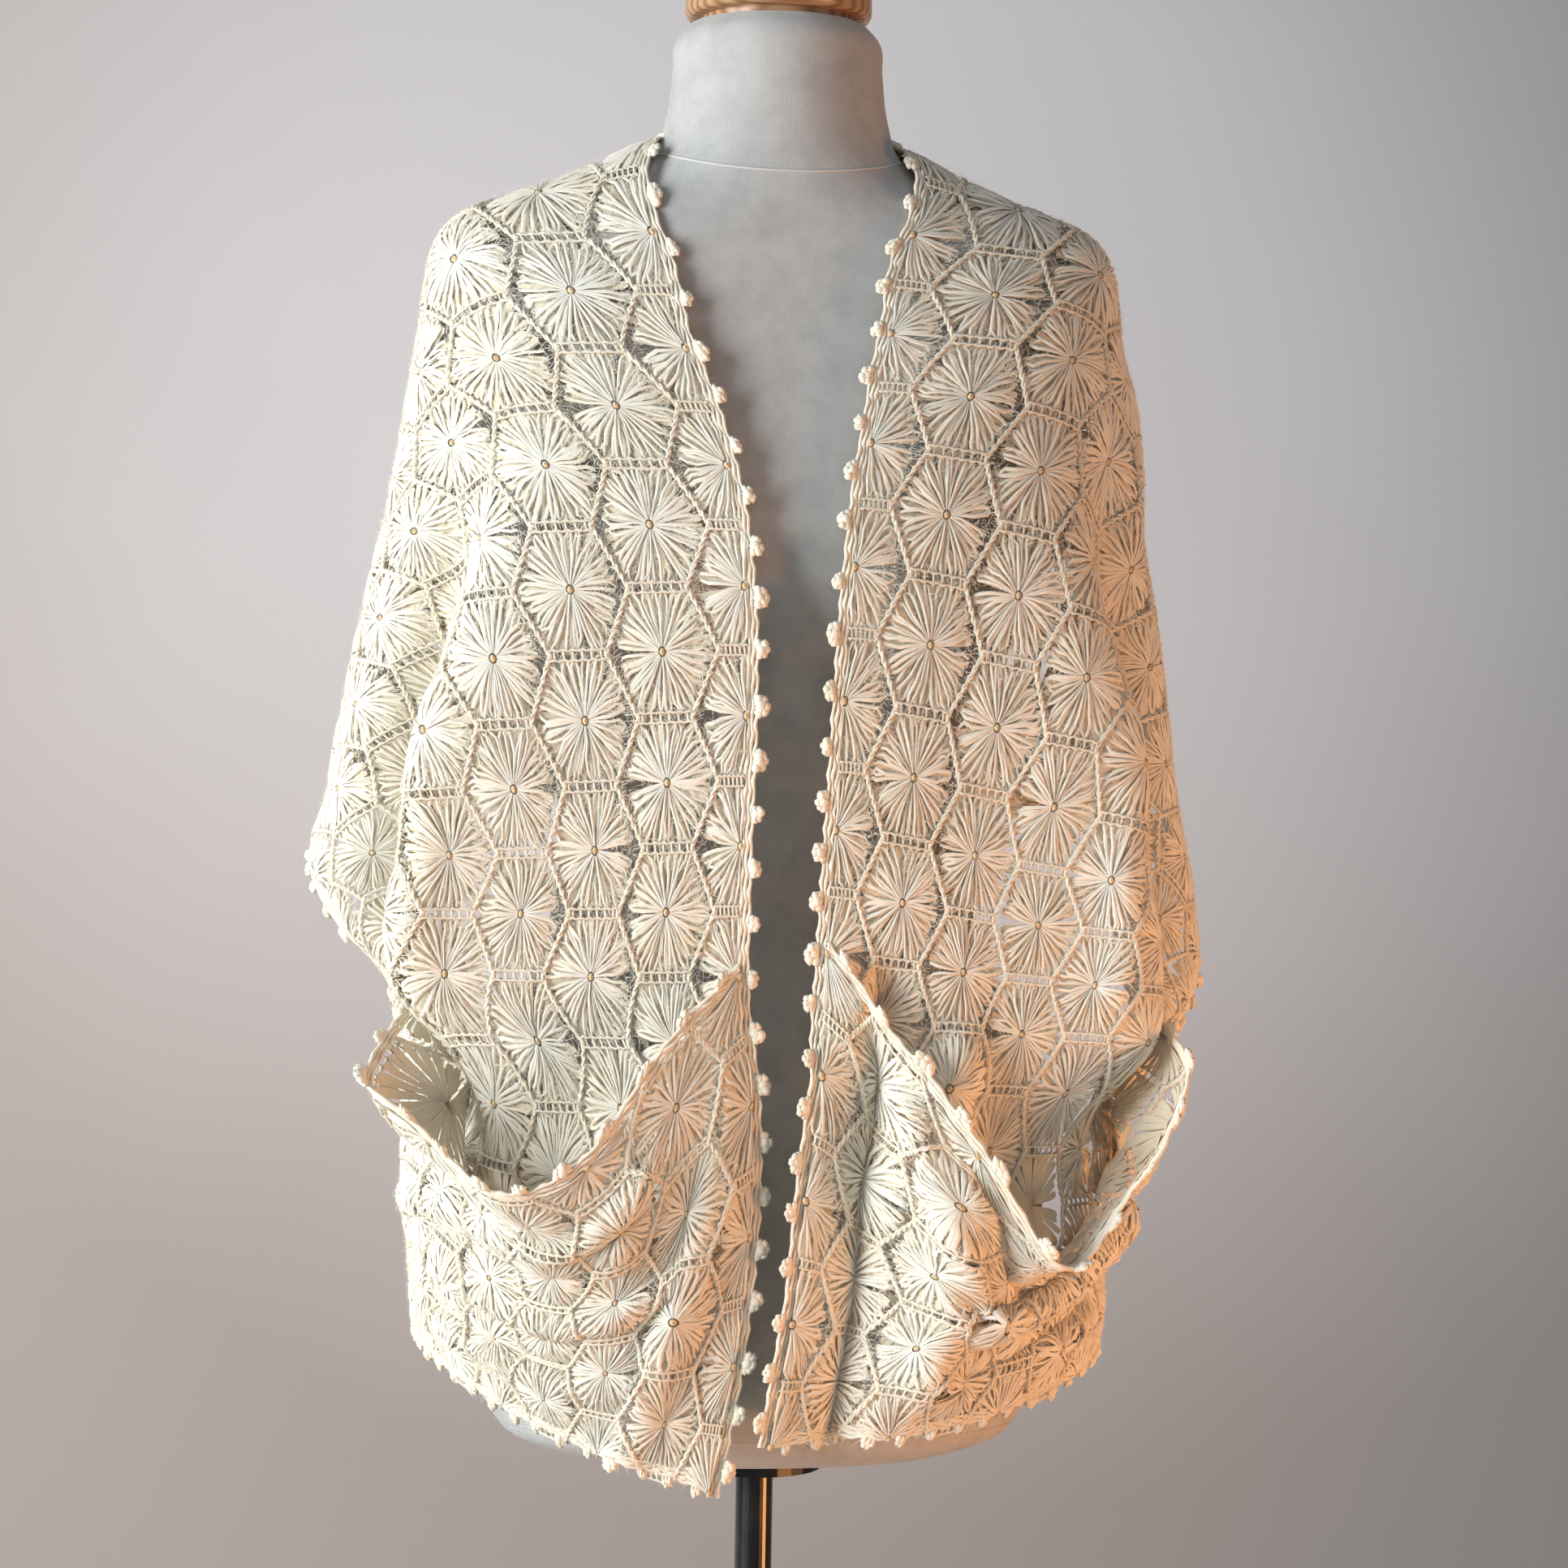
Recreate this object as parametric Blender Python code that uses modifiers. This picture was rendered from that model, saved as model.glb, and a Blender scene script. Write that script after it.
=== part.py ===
"""A lace pocket shawl worn by a limbless dress form on a stand.

The shawl is one long rectangle of hexagonal flower motifs with its ends turned up as pockets.
It is laid over the form in rungs: each row of motifs runs across the shawl from its front edge
to its hem, and the rungs follow rings that widen from the neck down over the shoulders.

Metres, +Z up. The origin is the centre of the base's underside, and the front faces -Y.
Left and right are the viewer's, so the left side is at -X.
"""

import math

import bmesh
import bpy
import numpy as np

# The shawl as it is cut: motifs across, rows of motifs from the middle of the back to each
# bottom fold, and rows turned up as a pocket. A motif is about 51 mm wide and 60 mm high.
MOTIFS_ACROSS = 8
ROWS = 13
POCKET_ROWS = 4

# Places in the flat lace are kept as whole numbers of these shares of a motif step.
FLAT_SHARES = 900

WALL = 0.002
SEAM = 0.0003

# How far the lace and its borders keep off the dress form, the step and the most steps of the
# borders' move out, and the longest single move of the lace.
FORM_CLEARANCE = 0.0006
BORDER_CLEARANCE = 0.0012
BORDER_MOVE = 0.0002
BORDER_MOVES = 60
LACE_MOVE = 0.01

# The gap between two petals of each flower, from the flower's centre towards a side corner,
# in motif steps: where it starts, where it ends and half its width there.
GAP_START = 0.16
GAP_END = 0.42
GAP_HALF_WIDTH = 0.062

# The picot border, measured out from the edge of the lace.
PICOTS_PER_ROW = 3
STATIONS_PER_MOUTH_CORNER = 3
STATIONS_LEFT_OUT = 4
EDGE_GAP = 0.0008
EDGE_LOW = 0.0050
EDGE_HIGH = 0.0105

# The dress form: level, half width, front depth, back depth, squareness of its section.
FORM_LEVELS = (
    (0.720, 0.118, 0.074, 0.078, 2.2),
    (0.726, 0.137, 0.088, 0.092, 2.2),
    (0.745, 0.158, 0.101, 0.107, 2.2),
    (0.780, 0.167, 0.108, 0.116, 2.2),
    (0.840, 0.169, 0.109, 0.122, 2.2),
    (0.900, 0.165, 0.106, 0.119, 2.2),
    (0.970, 0.147, 0.098, 0.100, 2.2),
    (1.050, 0.122, 0.090, 0.080, 2.2),
    (1.110, 0.124, 0.094, 0.079, 2.2),
    (1.180, 0.139, 0.110, 0.088, 2.3),
    (1.240, 0.154, 0.122, 0.097, 2.3),
    (1.290, 0.170, 0.115, 0.103, 2.4),
    (1.340, 0.185, 0.101, 0.103, 2.5),
    (1.380, 0.194, 0.090, 0.098, 2.5),
    (1.402, 0.195, 0.084, 0.091, 2.4),
    (1.418, 0.185, 0.080, 0.085, 2.3),
    (1.430, 0.166, 0.077, 0.080, 2.2),
    (1.441, 0.140, 0.074, 0.076, 2.1),
    (1.453, 0.110, 0.071, 0.073, 2.0),
    (1.466, 0.087, 0.068, 0.070, 2.0),
    (1.480, 0.073, 0.065, 0.067, 2.0),
    (1.500, 0.066, 0.062, 0.064, 2.0),
    (1.530, 0.062, 0.060, 0.061, 2.0),
    (1.548, 0.060, 0.058, 0.058, 2.0),
    (1.556, 0.053, 0.051, 0.051, 2.0),
)
FORM_SIDES = 28

# Rings of the worn shawl from the neck out and down: ring, half width on the left and on the
# right, front depth, back depth, height at the side, at the front and at the back.
RINGS = (
    (0.0, 0.074, 0.074, 0.070, 0.068, 1.484, 1.450, 1.478),
    (1.0, 0.134, 0.134, 0.090, 0.090, 1.457, 1.400, 1.435),
    (2.0, 0.193, 0.193, 0.110, 0.108, 1.430, 1.340, 1.370),
    (3.0, 0.207, 0.205, 0.128, 0.118, 1.365, 1.275, 1.300),
    (4.0, 0.220, 0.215, 0.139, 0.122, 1.280, 1.205, 1.225),
    (5.0, 0.238, 0.230, 0.143, 0.126, 1.195, 1.130, 1.150),
    (6.0, 0.253, 0.241, 0.143, 0.132, 1.110, 1.055, 1.075),
    (7.0, 0.257, 0.254, 0.143, 0.138, 1.035, 0.980, 1.000),
    (7.5, 0.219, 0.255, 0.143, 0.139, 0.992, 0.943, 0.963),
    (8.0, 0.208, 0.220, 0.143, 0.140, 0.950, 0.905, 0.925),
    (9.0, 0.203, 0.205, 0.142, 0.140, 0.865, 0.830, 0.850),
    (10.0, 0.197, 0.197, 0.140, 0.138, 0.790, 0.755, 0.775),
    (11.0, 0.190, 0.190, 0.138, 0.136, 0.715, 0.680, 0.700),
)
RING_SQUARENESS = 2.3

# Rungs across the shawl on each side, from the middle of the back to the bottom fold: row of
# motifs, front edge's angle (0 is the front, 90 the side, 180 the back) and ring, hem's angle
# and ring, and how late the rung turns down between them.
RUNGS = {
    -1: (
        (0.0, 180.0, 0.00, 180.0, 5.60, 1.0),
        (1.0, 134.0, 0.00, 164.0, 5.62, 1.0),
        (2.0, 84.0, 0.02, 149.0, 5.70, 1.05),
        (3.0, 34.0, 0.95, 134.0, 5.85, 1.15),
        (4.0, 16.0, 1.93, 120.0, 6.05, 1.25),
        (5.0, 8.8, 2.88, 106.0, 6.25, 1.35),
        (6.0, 6.0, 3.83, 92.0, 6.50, 1.4),
        (7.0, 5.2, 4.78, 79.0, 6.75, 1.4),
        (8.0, 5.2, 5.73, 74.0, 7.14, 1.35),
        (9.0, 5.0, 6.68, 82.0, 7.68, 1.25),
        (10.0, 4.6, 7.63, 92.0, 8.40, 1.1),
        (11.0, 4.8, 8.58, 98.0, 9.05, 1.0),
        (12.0, 6.6, 9.53, 98.0, 9.52, 0.85),
        (13.0, 10.0, 10.48, 92.0, 9.99, 0.75),
    ),
    1: (
        (0.0, 180.0, 0.00, 180.0, 5.60, 1.0),
        (1.0, 134.0, 0.00, 164.0, 5.62, 1.0),
        (2.0, 82.0, 0.05, 149.0, 5.70, 1.05),
        (3.0, 31.0, 0.82, 134.0, 5.90, 1.15),
        (4.0, 14.5, 1.70, 119.0, 6.15, 1.25),
        (5.0, 9.0, 2.66, 102.0, 6.50, 1.3),
        (6.0, 6.2, 3.66, 88.0, 6.90, 1.35),
        (7.0, 4.6, 4.66, 77.5, 7.20, 1.35),
        (8.0, 3.6, 5.60, 73.0, 7.50, 1.25),
        (9.0, 2.8, 6.50, 79.0, 7.95, 1.15),
        (10.0, 2.0, 7.40, 87.0, 8.45, 1.1),
        (11.0, 1.0, 8.30, 90.0, 9.00, 1.0),
        (12.0, 0.0, 9.20, 90.0, 9.55, 1.0),
        (13.0, -2.0, 10.10, 84.0, 10.05, 1.0),
    ),
}

# Folds of each side: middle angle at the top and at the bottom, half width in degrees, how far
# the ridge stands out, how far it leans towards the side, and the rings where it starts, is
# full, starts to fade and ends.
FOLDS = {
    -1: (
        (36.0, 41.0, 10.0, 0.022, 0.030, 2.6, 5.4, 7.0, 8.8),
        (57.0, 59.0, 9.0, -0.042, 0.0, 3.0, 5.6, 7.0, 8.6),
        (128.0, 128.0, 12.0, 0.012, 0.0, 3.0, 5.5, 6.5, 9.0),
        (150.0, 150.0, 12.0, -0.010, 0.0, 3.0, 5.5, 6.5, 9.0),
    ),
    1: (
        (37.0, 42.0, 10.0, 0.020, 0.024, 2.6, 5.4, 7.0, 8.8),
        (58.0, 60.0, 9.0, -0.036, 0.0, 3.0, 5.6, 7.0, 8.6),
        (132.0, 132.0, 12.0, 0.012, 0.0, 3.0, 5.5, 6.5, 9.0),
        (154.0, 154.0, 12.0, -0.010, 0.0, 3.0, 5.5, 6.5, 9.0),
    ),
}

# The pockets' mouths: motif step from the front edge, how far the mouth stands out from the
# shawl there, and how far it sags. POCKET_TURN is how far the way out turns to the side, and
# the powers say how late the panel comes out and sags on its way up.
POCKET_MOUTHS = {
    -1: (
        (0.0, 0.000, 0.000),
        (1.0, 0.018, 0.042),
        (2.0, 0.036, 0.100),
        (3.0, 0.040, 0.118),
        (4.0, 0.030, 0.088),
        (5.0, 0.028, 0.046),
        (6.0, 0.018, 0.018),
        (7.0, 0.008, 0.006),
        (8.0, 0.000, 0.000),
    ),
    1: (
        (0.0, 0.000, 0.000),
        (1.0, 0.012, 0.045),
        (2.0, 0.036, 0.098),
        (3.0, 0.046, 0.152),
        (4.0, 0.034, 0.118),
        (5.0, 0.028, 0.056),
        (6.0, 0.018, 0.018),
        (7.0, 0.008, 0.006),
        (8.0, 0.000, 0.000),
    ),
}
POCKET_TURN = 25.0
OUT_POWER = 0.9
SAG_POWER = 1.6

# Samples of the drape for each row of motifs and across the shawl.
DRAPE_PER_ROW = 8
DRAPE_ACROSS = 64

# The stand.
CAP_RADIUS = 0.0552
CAP_NECK_RADIUS = 0.046
CAP_BOTTOM = 0.0045
CAP_HEIGHT = 0.040
CAP_ROUND = 0.014
PLATE_RADIUS = 0.0395
PLATE_HEIGHT = 0.012
POLE_RADIUS = 0.011
BASE_RADIUS = 0.170
BASE_HEIGHT = 0.022
BASE_ROUND = 0.006
COLLAR_RADIUS = 0.030
COLLAR_HEIGHT = 0.030

FORM_BOTTOM = FORM_LEVELS[0][0]
FORM_TOP = FORM_LEVELS[-1][0]


def clear_scene():
    for item in list(bpy.data.objects):
        bpy.data.objects.remove(item, do_unlink=True)


def new_material(name, colour, roughness, metallic=0.0):
    material = bpy.data.materials.new(name)
    material.use_nodes = True
    principled = material.node_tree.nodes["Principled BSDF"]
    principled.inputs["Base Color"].default_value = (*colour, 1.0)
    principled.inputs["Roughness"].default_value = roughness
    principled.inputs["Metallic"].default_value = metallic
    return material


def add_object(name, mesh, material, collection):
    item = bpy.data.objects.new(name, mesh)
    item.data.materials.append(material)
    collection.objects.link(item)
    return item


def through(rows, where):
    """The columns of a table at places between its rows, on a smooth curve through them."""
    table = np.asarray(rows, float)
    key, value = table[:, 0], table[:, 1:]
    step = np.diff(key)[:, None]
    slope = np.diff(value, axis=0) / step
    tangent = np.empty_like(value)
    tangent[0], tangent[-1] = slope[0], slope[-1]
    tangent[1:-1] = (slope[:-1] * step[1:] + slope[1:] * step[:-1]) / (step[1:] + step[:-1])
    where = np.clip(np.asarray(where, float), key[0], key[-1])
    low = np.clip(np.searchsorted(key, where, side="right") - 1, 0, len(key) - 2)
    span = (key[low + 1] - key[low])[..., None]
    part = (where - key[low])[..., None] / span
    return (
        (1 + 2 * part) * (1 - part) ** 2 * value[low]
        + part * (1 - part) ** 2 * span * tangent[low]
        + part**2 * (3 - 2 * part) * value[low + 1]
        + part**2 * (part - 1) * span * tangent[low + 1]
    )


def smooth_step(x):
    x = np.clip(x, 0, 1)
    return x * x * (3 - 2 * x)


def ring_point(side, angle, ring):
    """A point of the worn shawl at an angle round the form and a ring, with the folds."""
    columns = np.moveaxis(through(RINGS, ring), -1, 0)
    left, right, front, back, z_side, z_front, z_back = columns
    width = left if side < 0 else right
    sine, cosine = np.sin(np.radians(angle)), np.cos(np.radians(angle))
    power = 2 / RING_SQUARENESS
    depth = np.where(cosine > 0, front, back)
    x = width * np.sign(sine) * np.abs(sine) ** power
    y = -np.sign(cosine) * depth * np.abs(cosine) ** power
    z = z_side + (np.where(cosine > 0, z_front, z_back) - z_side) * cosine**2
    out_x, out_y = x / width**2, y / depth**2
    length = np.hypot(out_x, out_y) + 1e-12
    out_x, out_y = out_x / length, out_y / length
    along_x, along_y = -out_y, out_x
    turned = np.where(along_y < 0, -1.0, 1.0)
    along_x, along_y = along_x * turned, along_y * turned
    out = np.zeros_like(x)
    lean = np.zeros_like(x)
    for top, bottom, half, ridge, over, start, full, fade, end in FOLDS[side]:
        middle = top + (bottom - top) * np.clip((ring - start) / (end - start), 0, 1)
        bell = np.exp(-(((angle - middle) / half) ** 2))
        grown = smooth_step((ring - start) / (full - start))
        grown = grown * smooth_step((end - ring) / (end - fade))
        out += ridge * bell * grown
        lean += over * bell * grown
    x = x + out_x * out + along_x * lean
    y = y + out_y * out + along_y * lean
    return np.stack([side * x, y, z], axis=-1)


def form_reach(point, clearance):
    """Below 0 inside the dress form or within the clearance of it, above 0 outside."""
    width, front, back, square = np.moveaxis(through(FORM_LEVELS, point[..., 2]), -1, 0)
    depth = np.where(point[..., 1] < 0, front, back) + clearance
    across = np.abs(point[..., 0] / (width + clearance)) ** square
    along = np.abs(point[..., 1] / depth) ** square
    return (across + along) ** (1 / square) - 1


def way_out(points, clearance):
    """The move that takes each point inside the form or its clearance out of it."""
    step = 0.0005
    value = form_reach(points, clearance)
    inside = (value < 0) & (points[..., 2] > FORM_BOTTOM) & (points[..., 2] < FORM_TOP)
    slopes = [(form_reach(points + axis * step, clearance) - value) / step for axis in np.eye(3)]
    gradient = np.stack(slopes, axis=-1)
    move = -value[..., None] * gradient / ((gradient**2).sum(-1)[..., None] + 1e-9)
    length = np.linalg.norm(move, axis=-1, keepdims=True)
    move = move * np.minimum(1, LACE_MOVE / (length + 1e-9))
    return np.where(inside[..., None], move, 0)


def clear_of_form(points, clearance):
    """Points moved out until none lies in the form or nearer than the clearance."""
    for _ in range(30):
        move = way_out(points, clearance)
        if not move.any():
            break
        points = points + move * 1.02
    return points


def drape_side(side):
    """Points of one half of the worn shawl: [row sample, sample across, xyz]."""
    along = np.linspace(0, ROWS, ROWS * DRAPE_PER_ROW + 1)
    angle_in, ring_in, angle_out, ring_out, late = np.moveaxis(through(RUNGS[side], along), -1, 0)
    part = np.linspace(0, 1, 2 * DRAPE_ACROSS + 1)[None, :]
    late = late[:, None]
    angle = angle_in[:, None] + (angle_out - angle_in)[:, None] * (1 - (1 - part) ** late)
    ring = ring_in[:, None] + (ring_out - ring_in)[:, None] * part**late
    path = clear_of_form(ring_point(side, angle, ring), FORM_CLEARANCE)
    gone = np.zeros(path.shape[:2])
    gone[:, 1:] = np.cumsum(np.linalg.norm(np.diff(path, axis=1), axis=-1), axis=1)
    points = np.empty((len(along), DRAPE_ACROSS + 1, 3))
    for row in range(len(along)):
        even = np.linspace(0, gone[row, -1], DRAPE_ACROSS + 1)
        for axis in range(3):
            points[row, :, axis] = np.interp(even, gone[row], path[row, :, axis])
    return points


def shawl_point(drape, across, row):
    """The draped place of a flat one: motif steps from the front edge, rows from the back."""
    points = drape[-1 if row < 0 else 1]
    u = across / MOTIFS_ACROSS * DRAPE_ACROSS
    v = abs(row) * DRAPE_PER_ROW
    column = int(min(u, DRAPE_ACROSS - 1))
    line = int(min(v, len(points) - 2))
    u, v = u - column, v - line
    near = points[line, column] * (1 - u) + points[line, column + 1] * u
    far = points[line + 1, column] * (1 - u) + points[line + 1, column + 1] * u
    return near * (1 - v) + far * v


def flat_key(across, row):
    """A place in the flat lace as whole numbers, so that motifs share their corners."""
    return round(across * FLAT_SHARES), round(row * FLAT_SHARES)


# A whole motif's border from its centre, in motif steps across and rows, side corner first.
MOTIF_BORDER = (
    (2 / 3, 0),
    (1 / 2, 1 / 4),
    (1 / 3, 1 / 2),
    (-1 / 3, 1 / 2),
    (-1 / 2, 1 / 4),
    (-2 / 3, 0),
    (-1 / 2, -1 / 4),
    (-1 / 3, -1 / 2),
    (1 / 3, -1 / 2),
    (1 / 2, -1 / 4),
)


def motif_border(across, row, first_row, last_row):
    """The part of a motif's border that lies on the panel, and whether it runs all round."""
    border = [(across + du, row + dv) for du, dv in MOTIF_BORDER]
    if across == 0:
        border = [(0, row - 1 / 2)] + border[8:] + border[:3] + [(0, row + 1 / 2)]
    elif across == MOTIFS_ACROSS:
        border = [(across, row + 1 / 2)] + border[3:8] + [(across, row - 1 / 2)]
    kept = [first_row - 1e-6 < v < last_row + 1e-6 for _, v in border]
    if all(kept):
        return border, 0 < across < MOTIFS_ACROSS
    if row == last_row and 0 < across < MOTIFS_ACROSS:
        return border[5:] + border[:1], False
    return [place for place, keep in zip(border, kept) if keep], False


def motif_faces(across, row, first_row, last_row):
    """Triangles of one motif, a fan round its centre with the gap between two petals."""
    border, whole = motif_border(across, row, first_row, last_row)
    centre = (across, row)
    side = -1 if across == MOTIFS_ACROSS or (across % 4 in (2, 3)) else 1
    corner = (across + side * 2 / 3, row)
    faces = []
    count = len(border) if whole else len(border) - 1
    on_end = row in (first_row, last_row)
    start = (across + side * GAP_START, row)
    above = (across + side * GAP_END, row + side * GAP_HALF_WIDTH)
    below = (across + side * GAP_END, row - side * GAP_HALF_WIDTH)
    for place in range(count):
        one, two = border[place], border[(place + 1) % len(border)]
        if not on_end and flat_key(*one) == flat_key(*corner):
            faces += [(centre, start, above), (centre, above, two), (above, corner, two)]
            faces += [(above, below, corner)]
        elif not on_end and flat_key(*two) == flat_key(*corner):
            faces += [(centre, below, start), (centre, one, below), (below, one, corner)]
        else:
            faces.append((centre, one, two))
    return faces


def lace_faces(first_row, last_row):
    """Triangles of a panel of flower lace, as places in the flat cloth."""
    faces = []
    for across in range(MOTIFS_ACROSS + 1):
        shift = (across % 2) / 2
        row = first_row + shift
        while row <= last_row:
            faces += motif_faces(across, row, first_row, last_row)
            row += 1
    return faces


def lace_mesh(name, faces, place_of):
    """An open lace surface from flat triangles, and the draped place of each flat key."""
    flat = {flat_key(*place): place for face in faces for place in face}
    keys = list(flat)
    number = {key: index for index, key in enumerate(keys)}
    points = np.array([place_of(*flat[key]) for key in keys])
    triangles = np.array([[number[flat_key(*place)] for place in face] for face in faces])
    return keys, points, triangles[:, ::-1]


def settle_on_form(points, triangles):
    """Lifts the corners of triangles that would cut into the form."""
    corners = [(1, 0, 0), (0, 1, 0), (0, 0, 1)]
    edge_middles = [(0.5, 0.5, 0), (0.5, 0, 0.5), (0, 0.5, 0.5)]
    inner = [(1 / 3, 1 / 3, 1 / 3), (0.7, 0.15, 0.15), (0.15, 0.7, 0.15), (0.15, 0.15, 0.7)]
    weights = corners + edge_middles + inner
    for _ in range(25):
        lift = np.zeros_like(points)
        for weight in weights:
            sample = sum(points[triangles[:, k]] * weight[k] for k in range(3))
            move = way_out(sample, FORM_CLEARANCE)
            for k in range(3):
                if weight[k] == 0:
                    continue
                reach = np.linalg.norm(lift, axis=1)[triangles[:, k]]
                longer = np.linalg.norm(move, axis=1) > reach
                lift[triangles[longer, k]] = move[longer]
        if np.abs(lift).max() < 1e-6:
            break
        points = points + lift
    return points


def cloth_object(name, points, triangles, material, collection):
    """A lace wall: the open surface thickened outwards. Returns its corners' normals."""
    mesh = bpy.data.meshes.new(name)
    mesh.from_pydata(points.tolist(), [], triangles.tolist())
    mesh.update()
    item = add_object(name, mesh, material, collection)
    thickness = item.modifiers.new("Wall", "SOLIDIFY")
    thickness.thickness = WALL
    thickness.offset = 1.0
    thickness.use_even_offset = False
    return np.array([vertex.normal[:] for vertex in mesh.vertices])


def build_shawl_body(material, collection):
    """The long rectangle of lace, and its corners and their normals by flat key."""
    drape = {side: drape_side(side) for side in (-1, 1)}
    faces = lace_faces(-ROWS, ROWS)
    keys, points, triangles = lace_mesh(
        "shawl_body", faces, lambda across, row: shawl_point(drape, across, row)
    )
    points = settle_on_form(points, triangles)
    normals = cloth_object("shawl_body", points, triangles, material, collection)
    return dict(zip(keys, points)), dict(zip(keys, normals))


def build_pocket(side, name, places, normals, material, collection):
    """The turned-up end, which lies on the shawl's points at its seams and bulges between."""

    def pocket_point(across, up):
        key = flat_key(across, side * (ROWS - up))
        out, sag = through(POCKET_MOUTHS[side], across)
        height = up / POCKET_ROWS
        turn = math.radians(POCKET_TURN * across / MOTIFS_ACROSS)
        forward = np.array([side * math.sin(turn), -math.cos(turn), 0])
        point = places[key] + normals[key] * (WALL + SEAM)
        point = point + forward * out * height**OUT_POWER
        return point - np.array([0, 0, sag]) * height**SAG_POWER

    faces = lace_faces(0, POCKET_ROWS)
    keys, points, triangles = lace_mesh(name, faces, pocket_point)
    if side > 0:
        triangles = triangles[:, ::-1]
    found = cloth_object(name, points, triangles, material, collection)
    return dict(zip(keys, points)), dict(zip(keys, found))


def between(values, position):
    """Linear value between the corners of an edge."""
    low = int(min(math.floor(position), len(values) - 2))
    part = position - low
    return values[low] * (1 - part) + values[low + 1] * part


def unit(vector):
    return vector / np.linalg.norm(vector)


def lift_off_form(near, far, normal):
    """How far a section of the border moves out, along the cloth's normal, to clear the form."""
    section = np.array([near, (near + far) / 2, far])
    for count in range(BORDER_MOVES):
        moved = section + normal * BORDER_MOVE * count
        if (form_reach(moved, BORDER_CLEARANCE) >= 0).all():
            break
    return BORDER_MOVE * count


def picot_strip(name, edge, steps, turn, material, collection, left_out=0):
    """A border along a lace edge: a band with a picot at every other station.

    edge is the places and normals of the edge's corners in order, steps the stations from one
    corner to the next, and turn 1 where the border lies to the left of the way along it.
    left_out is how many stations stay free at each end.
    """
    places, normals = edge
    tangents = np.gradient(places, axis=0)
    mesh = bmesh.new()
    rings = []
    for station in range(left_out, (len(places) - 1) * steps + 1 - left_out):
        position = station / steps
        normal = unit(between(normals, position))
        way = unit(turn * np.cross(between(tangents, position), normal))
        near = between(places, position) + way * EDGE_GAP
        far = near + way * (EDGE_HIGH if station % 2 else EDGE_LOW)
        lift = normal * lift_off_form(near, far, normal)
        near, far = near + lift, far + lift
        top = normal * WALL
        rings.append([mesh.verts.new(corner) for corner in (near, near + top, far + top, far)])
    for one, two in zip(rings, rings[1:]):
        for k in range(4):
            mesh.faces.new((one[k], one[(k + 1) % 4], two[(k + 1) % 4], two[k]))
    mesh.faces.new(rings[0][::-1])
    mesh.faces.new(rings[-1])
    bmesh.ops.triangulate(mesh, faces=mesh.faces[:])
    bmesh.ops.recalc_face_normals(mesh, faces=mesh.faces[:])
    data = bpy.data.meshes.new(name)
    mesh.to_mesh(data)
    mesh.free()
    add_object(name, data, material, collection)


def edge_of(panel, keys):
    """The places and normals of a panel's corners along an edge."""
    places, normals = panel
    return np.array([places[key] for key in keys]), np.array([normals[key] for key in keys])


def build_edgings(body, pockets, material, collection):
    """The picot borders of the front edge, the hem and the two pockets' mouths."""
    half_rows = [row / 2 for row in range(-2 * ROWS, 2 * ROWS + 1)]
    for name, across, turn in (("front_edging", 0, 1), ("hem_edging", MOTIFS_ACROSS, -1)):
        edge = edge_of(body, [flat_key(across, row) for row in half_rows])
        picot_strip(name, edge, PICOTS_PER_ROW, turn, material, collection)
    corners = [2 / 3 * step for step in range(MOTIFS_ACROSS * 3 // 2 + 1)]
    for side, name in ((-1, "left_pocket_edging"), (1, "right_pocket_edging")):
        edge = edge_of(pockets[side], [flat_key(across, POCKET_ROWS) for across in corners])
        steps = STATIONS_PER_MOUTH_CORNER
        picot_strip(name, edge, steps, -side, material, collection, STATIONS_LEFT_OUT)


def build_form(material, collection):
    """The covered torso with its neck, lofted through its sections."""
    mesh = bmesh.new()
    rings = []
    for level, width, front, back, square in FORM_LEVELS:
        ring = []
        for step in range(FORM_SIDES):
            angle = 2 * math.pi * step / FORM_SIDES
            sine, cosine = math.sin(angle), math.cos(angle)
            depth = front if sine < 0 else back
            x = width * math.copysign(abs(cosine) ** (2 / square), cosine)
            y = depth * math.copysign(abs(sine) ** (2 / square), sine)
            ring.append(mesh.verts.new((x, y, level)))
        rings.append(ring)
    for one, two in zip(rings, rings[1:]):
        for k in range(FORM_SIDES):
            after = (k + 1) % FORM_SIDES
            mesh.faces.new((one[k], one[after], two[after], two[k]))
    mesh.faces.new(rings[0][::-1])
    mesh.faces.new(rings[-1])
    bmesh.ops.triangulate(mesh, faces=mesh.faces[:])
    data = bpy.data.meshes.new("form_torso")
    mesh.to_mesh(data)
    mesh.free()
    data.shade_smooth()
    add_object("form_torso", data, material, collection)


def turned_object(name, profile, material, collection, steps=28):
    """A closed turned body from a profile of radius and height that starts and ends at 0."""
    mesh = bpy.data.meshes.new(name)
    points = [(radius, 0, height) for radius, height in profile]
    edges = [(k, k + 1) for k in range(len(points) - 1)]
    mesh.from_pydata(points, edges, [])
    item = add_object(name, mesh, material, collection)
    turn = item.modifiers.new("Turn", "SCREW")
    turn.steps = steps
    turn.render_steps = steps
    turn.use_merge_vertices = True
    turn.merge_threshold = 0.00001
    turn.use_smooth_shade = True
    return item


def rounded_corner(radius, height, round_radius, quarter, steps=4):
    """Points round an outer corner; quarter 0 turns from the side up to the top, 1 below."""
    points = []
    for step in range(steps + 1):
        angle = math.pi / 2 * step / steps
        if quarter == 0:
            x, z = math.cos(angle), math.sin(angle) - 1
        else:
            x, z = math.sin(angle), 1 - math.cos(angle)
        points.append((radius - round_radius + round_radius * x, height + round_radius * z))
    return points


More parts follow.
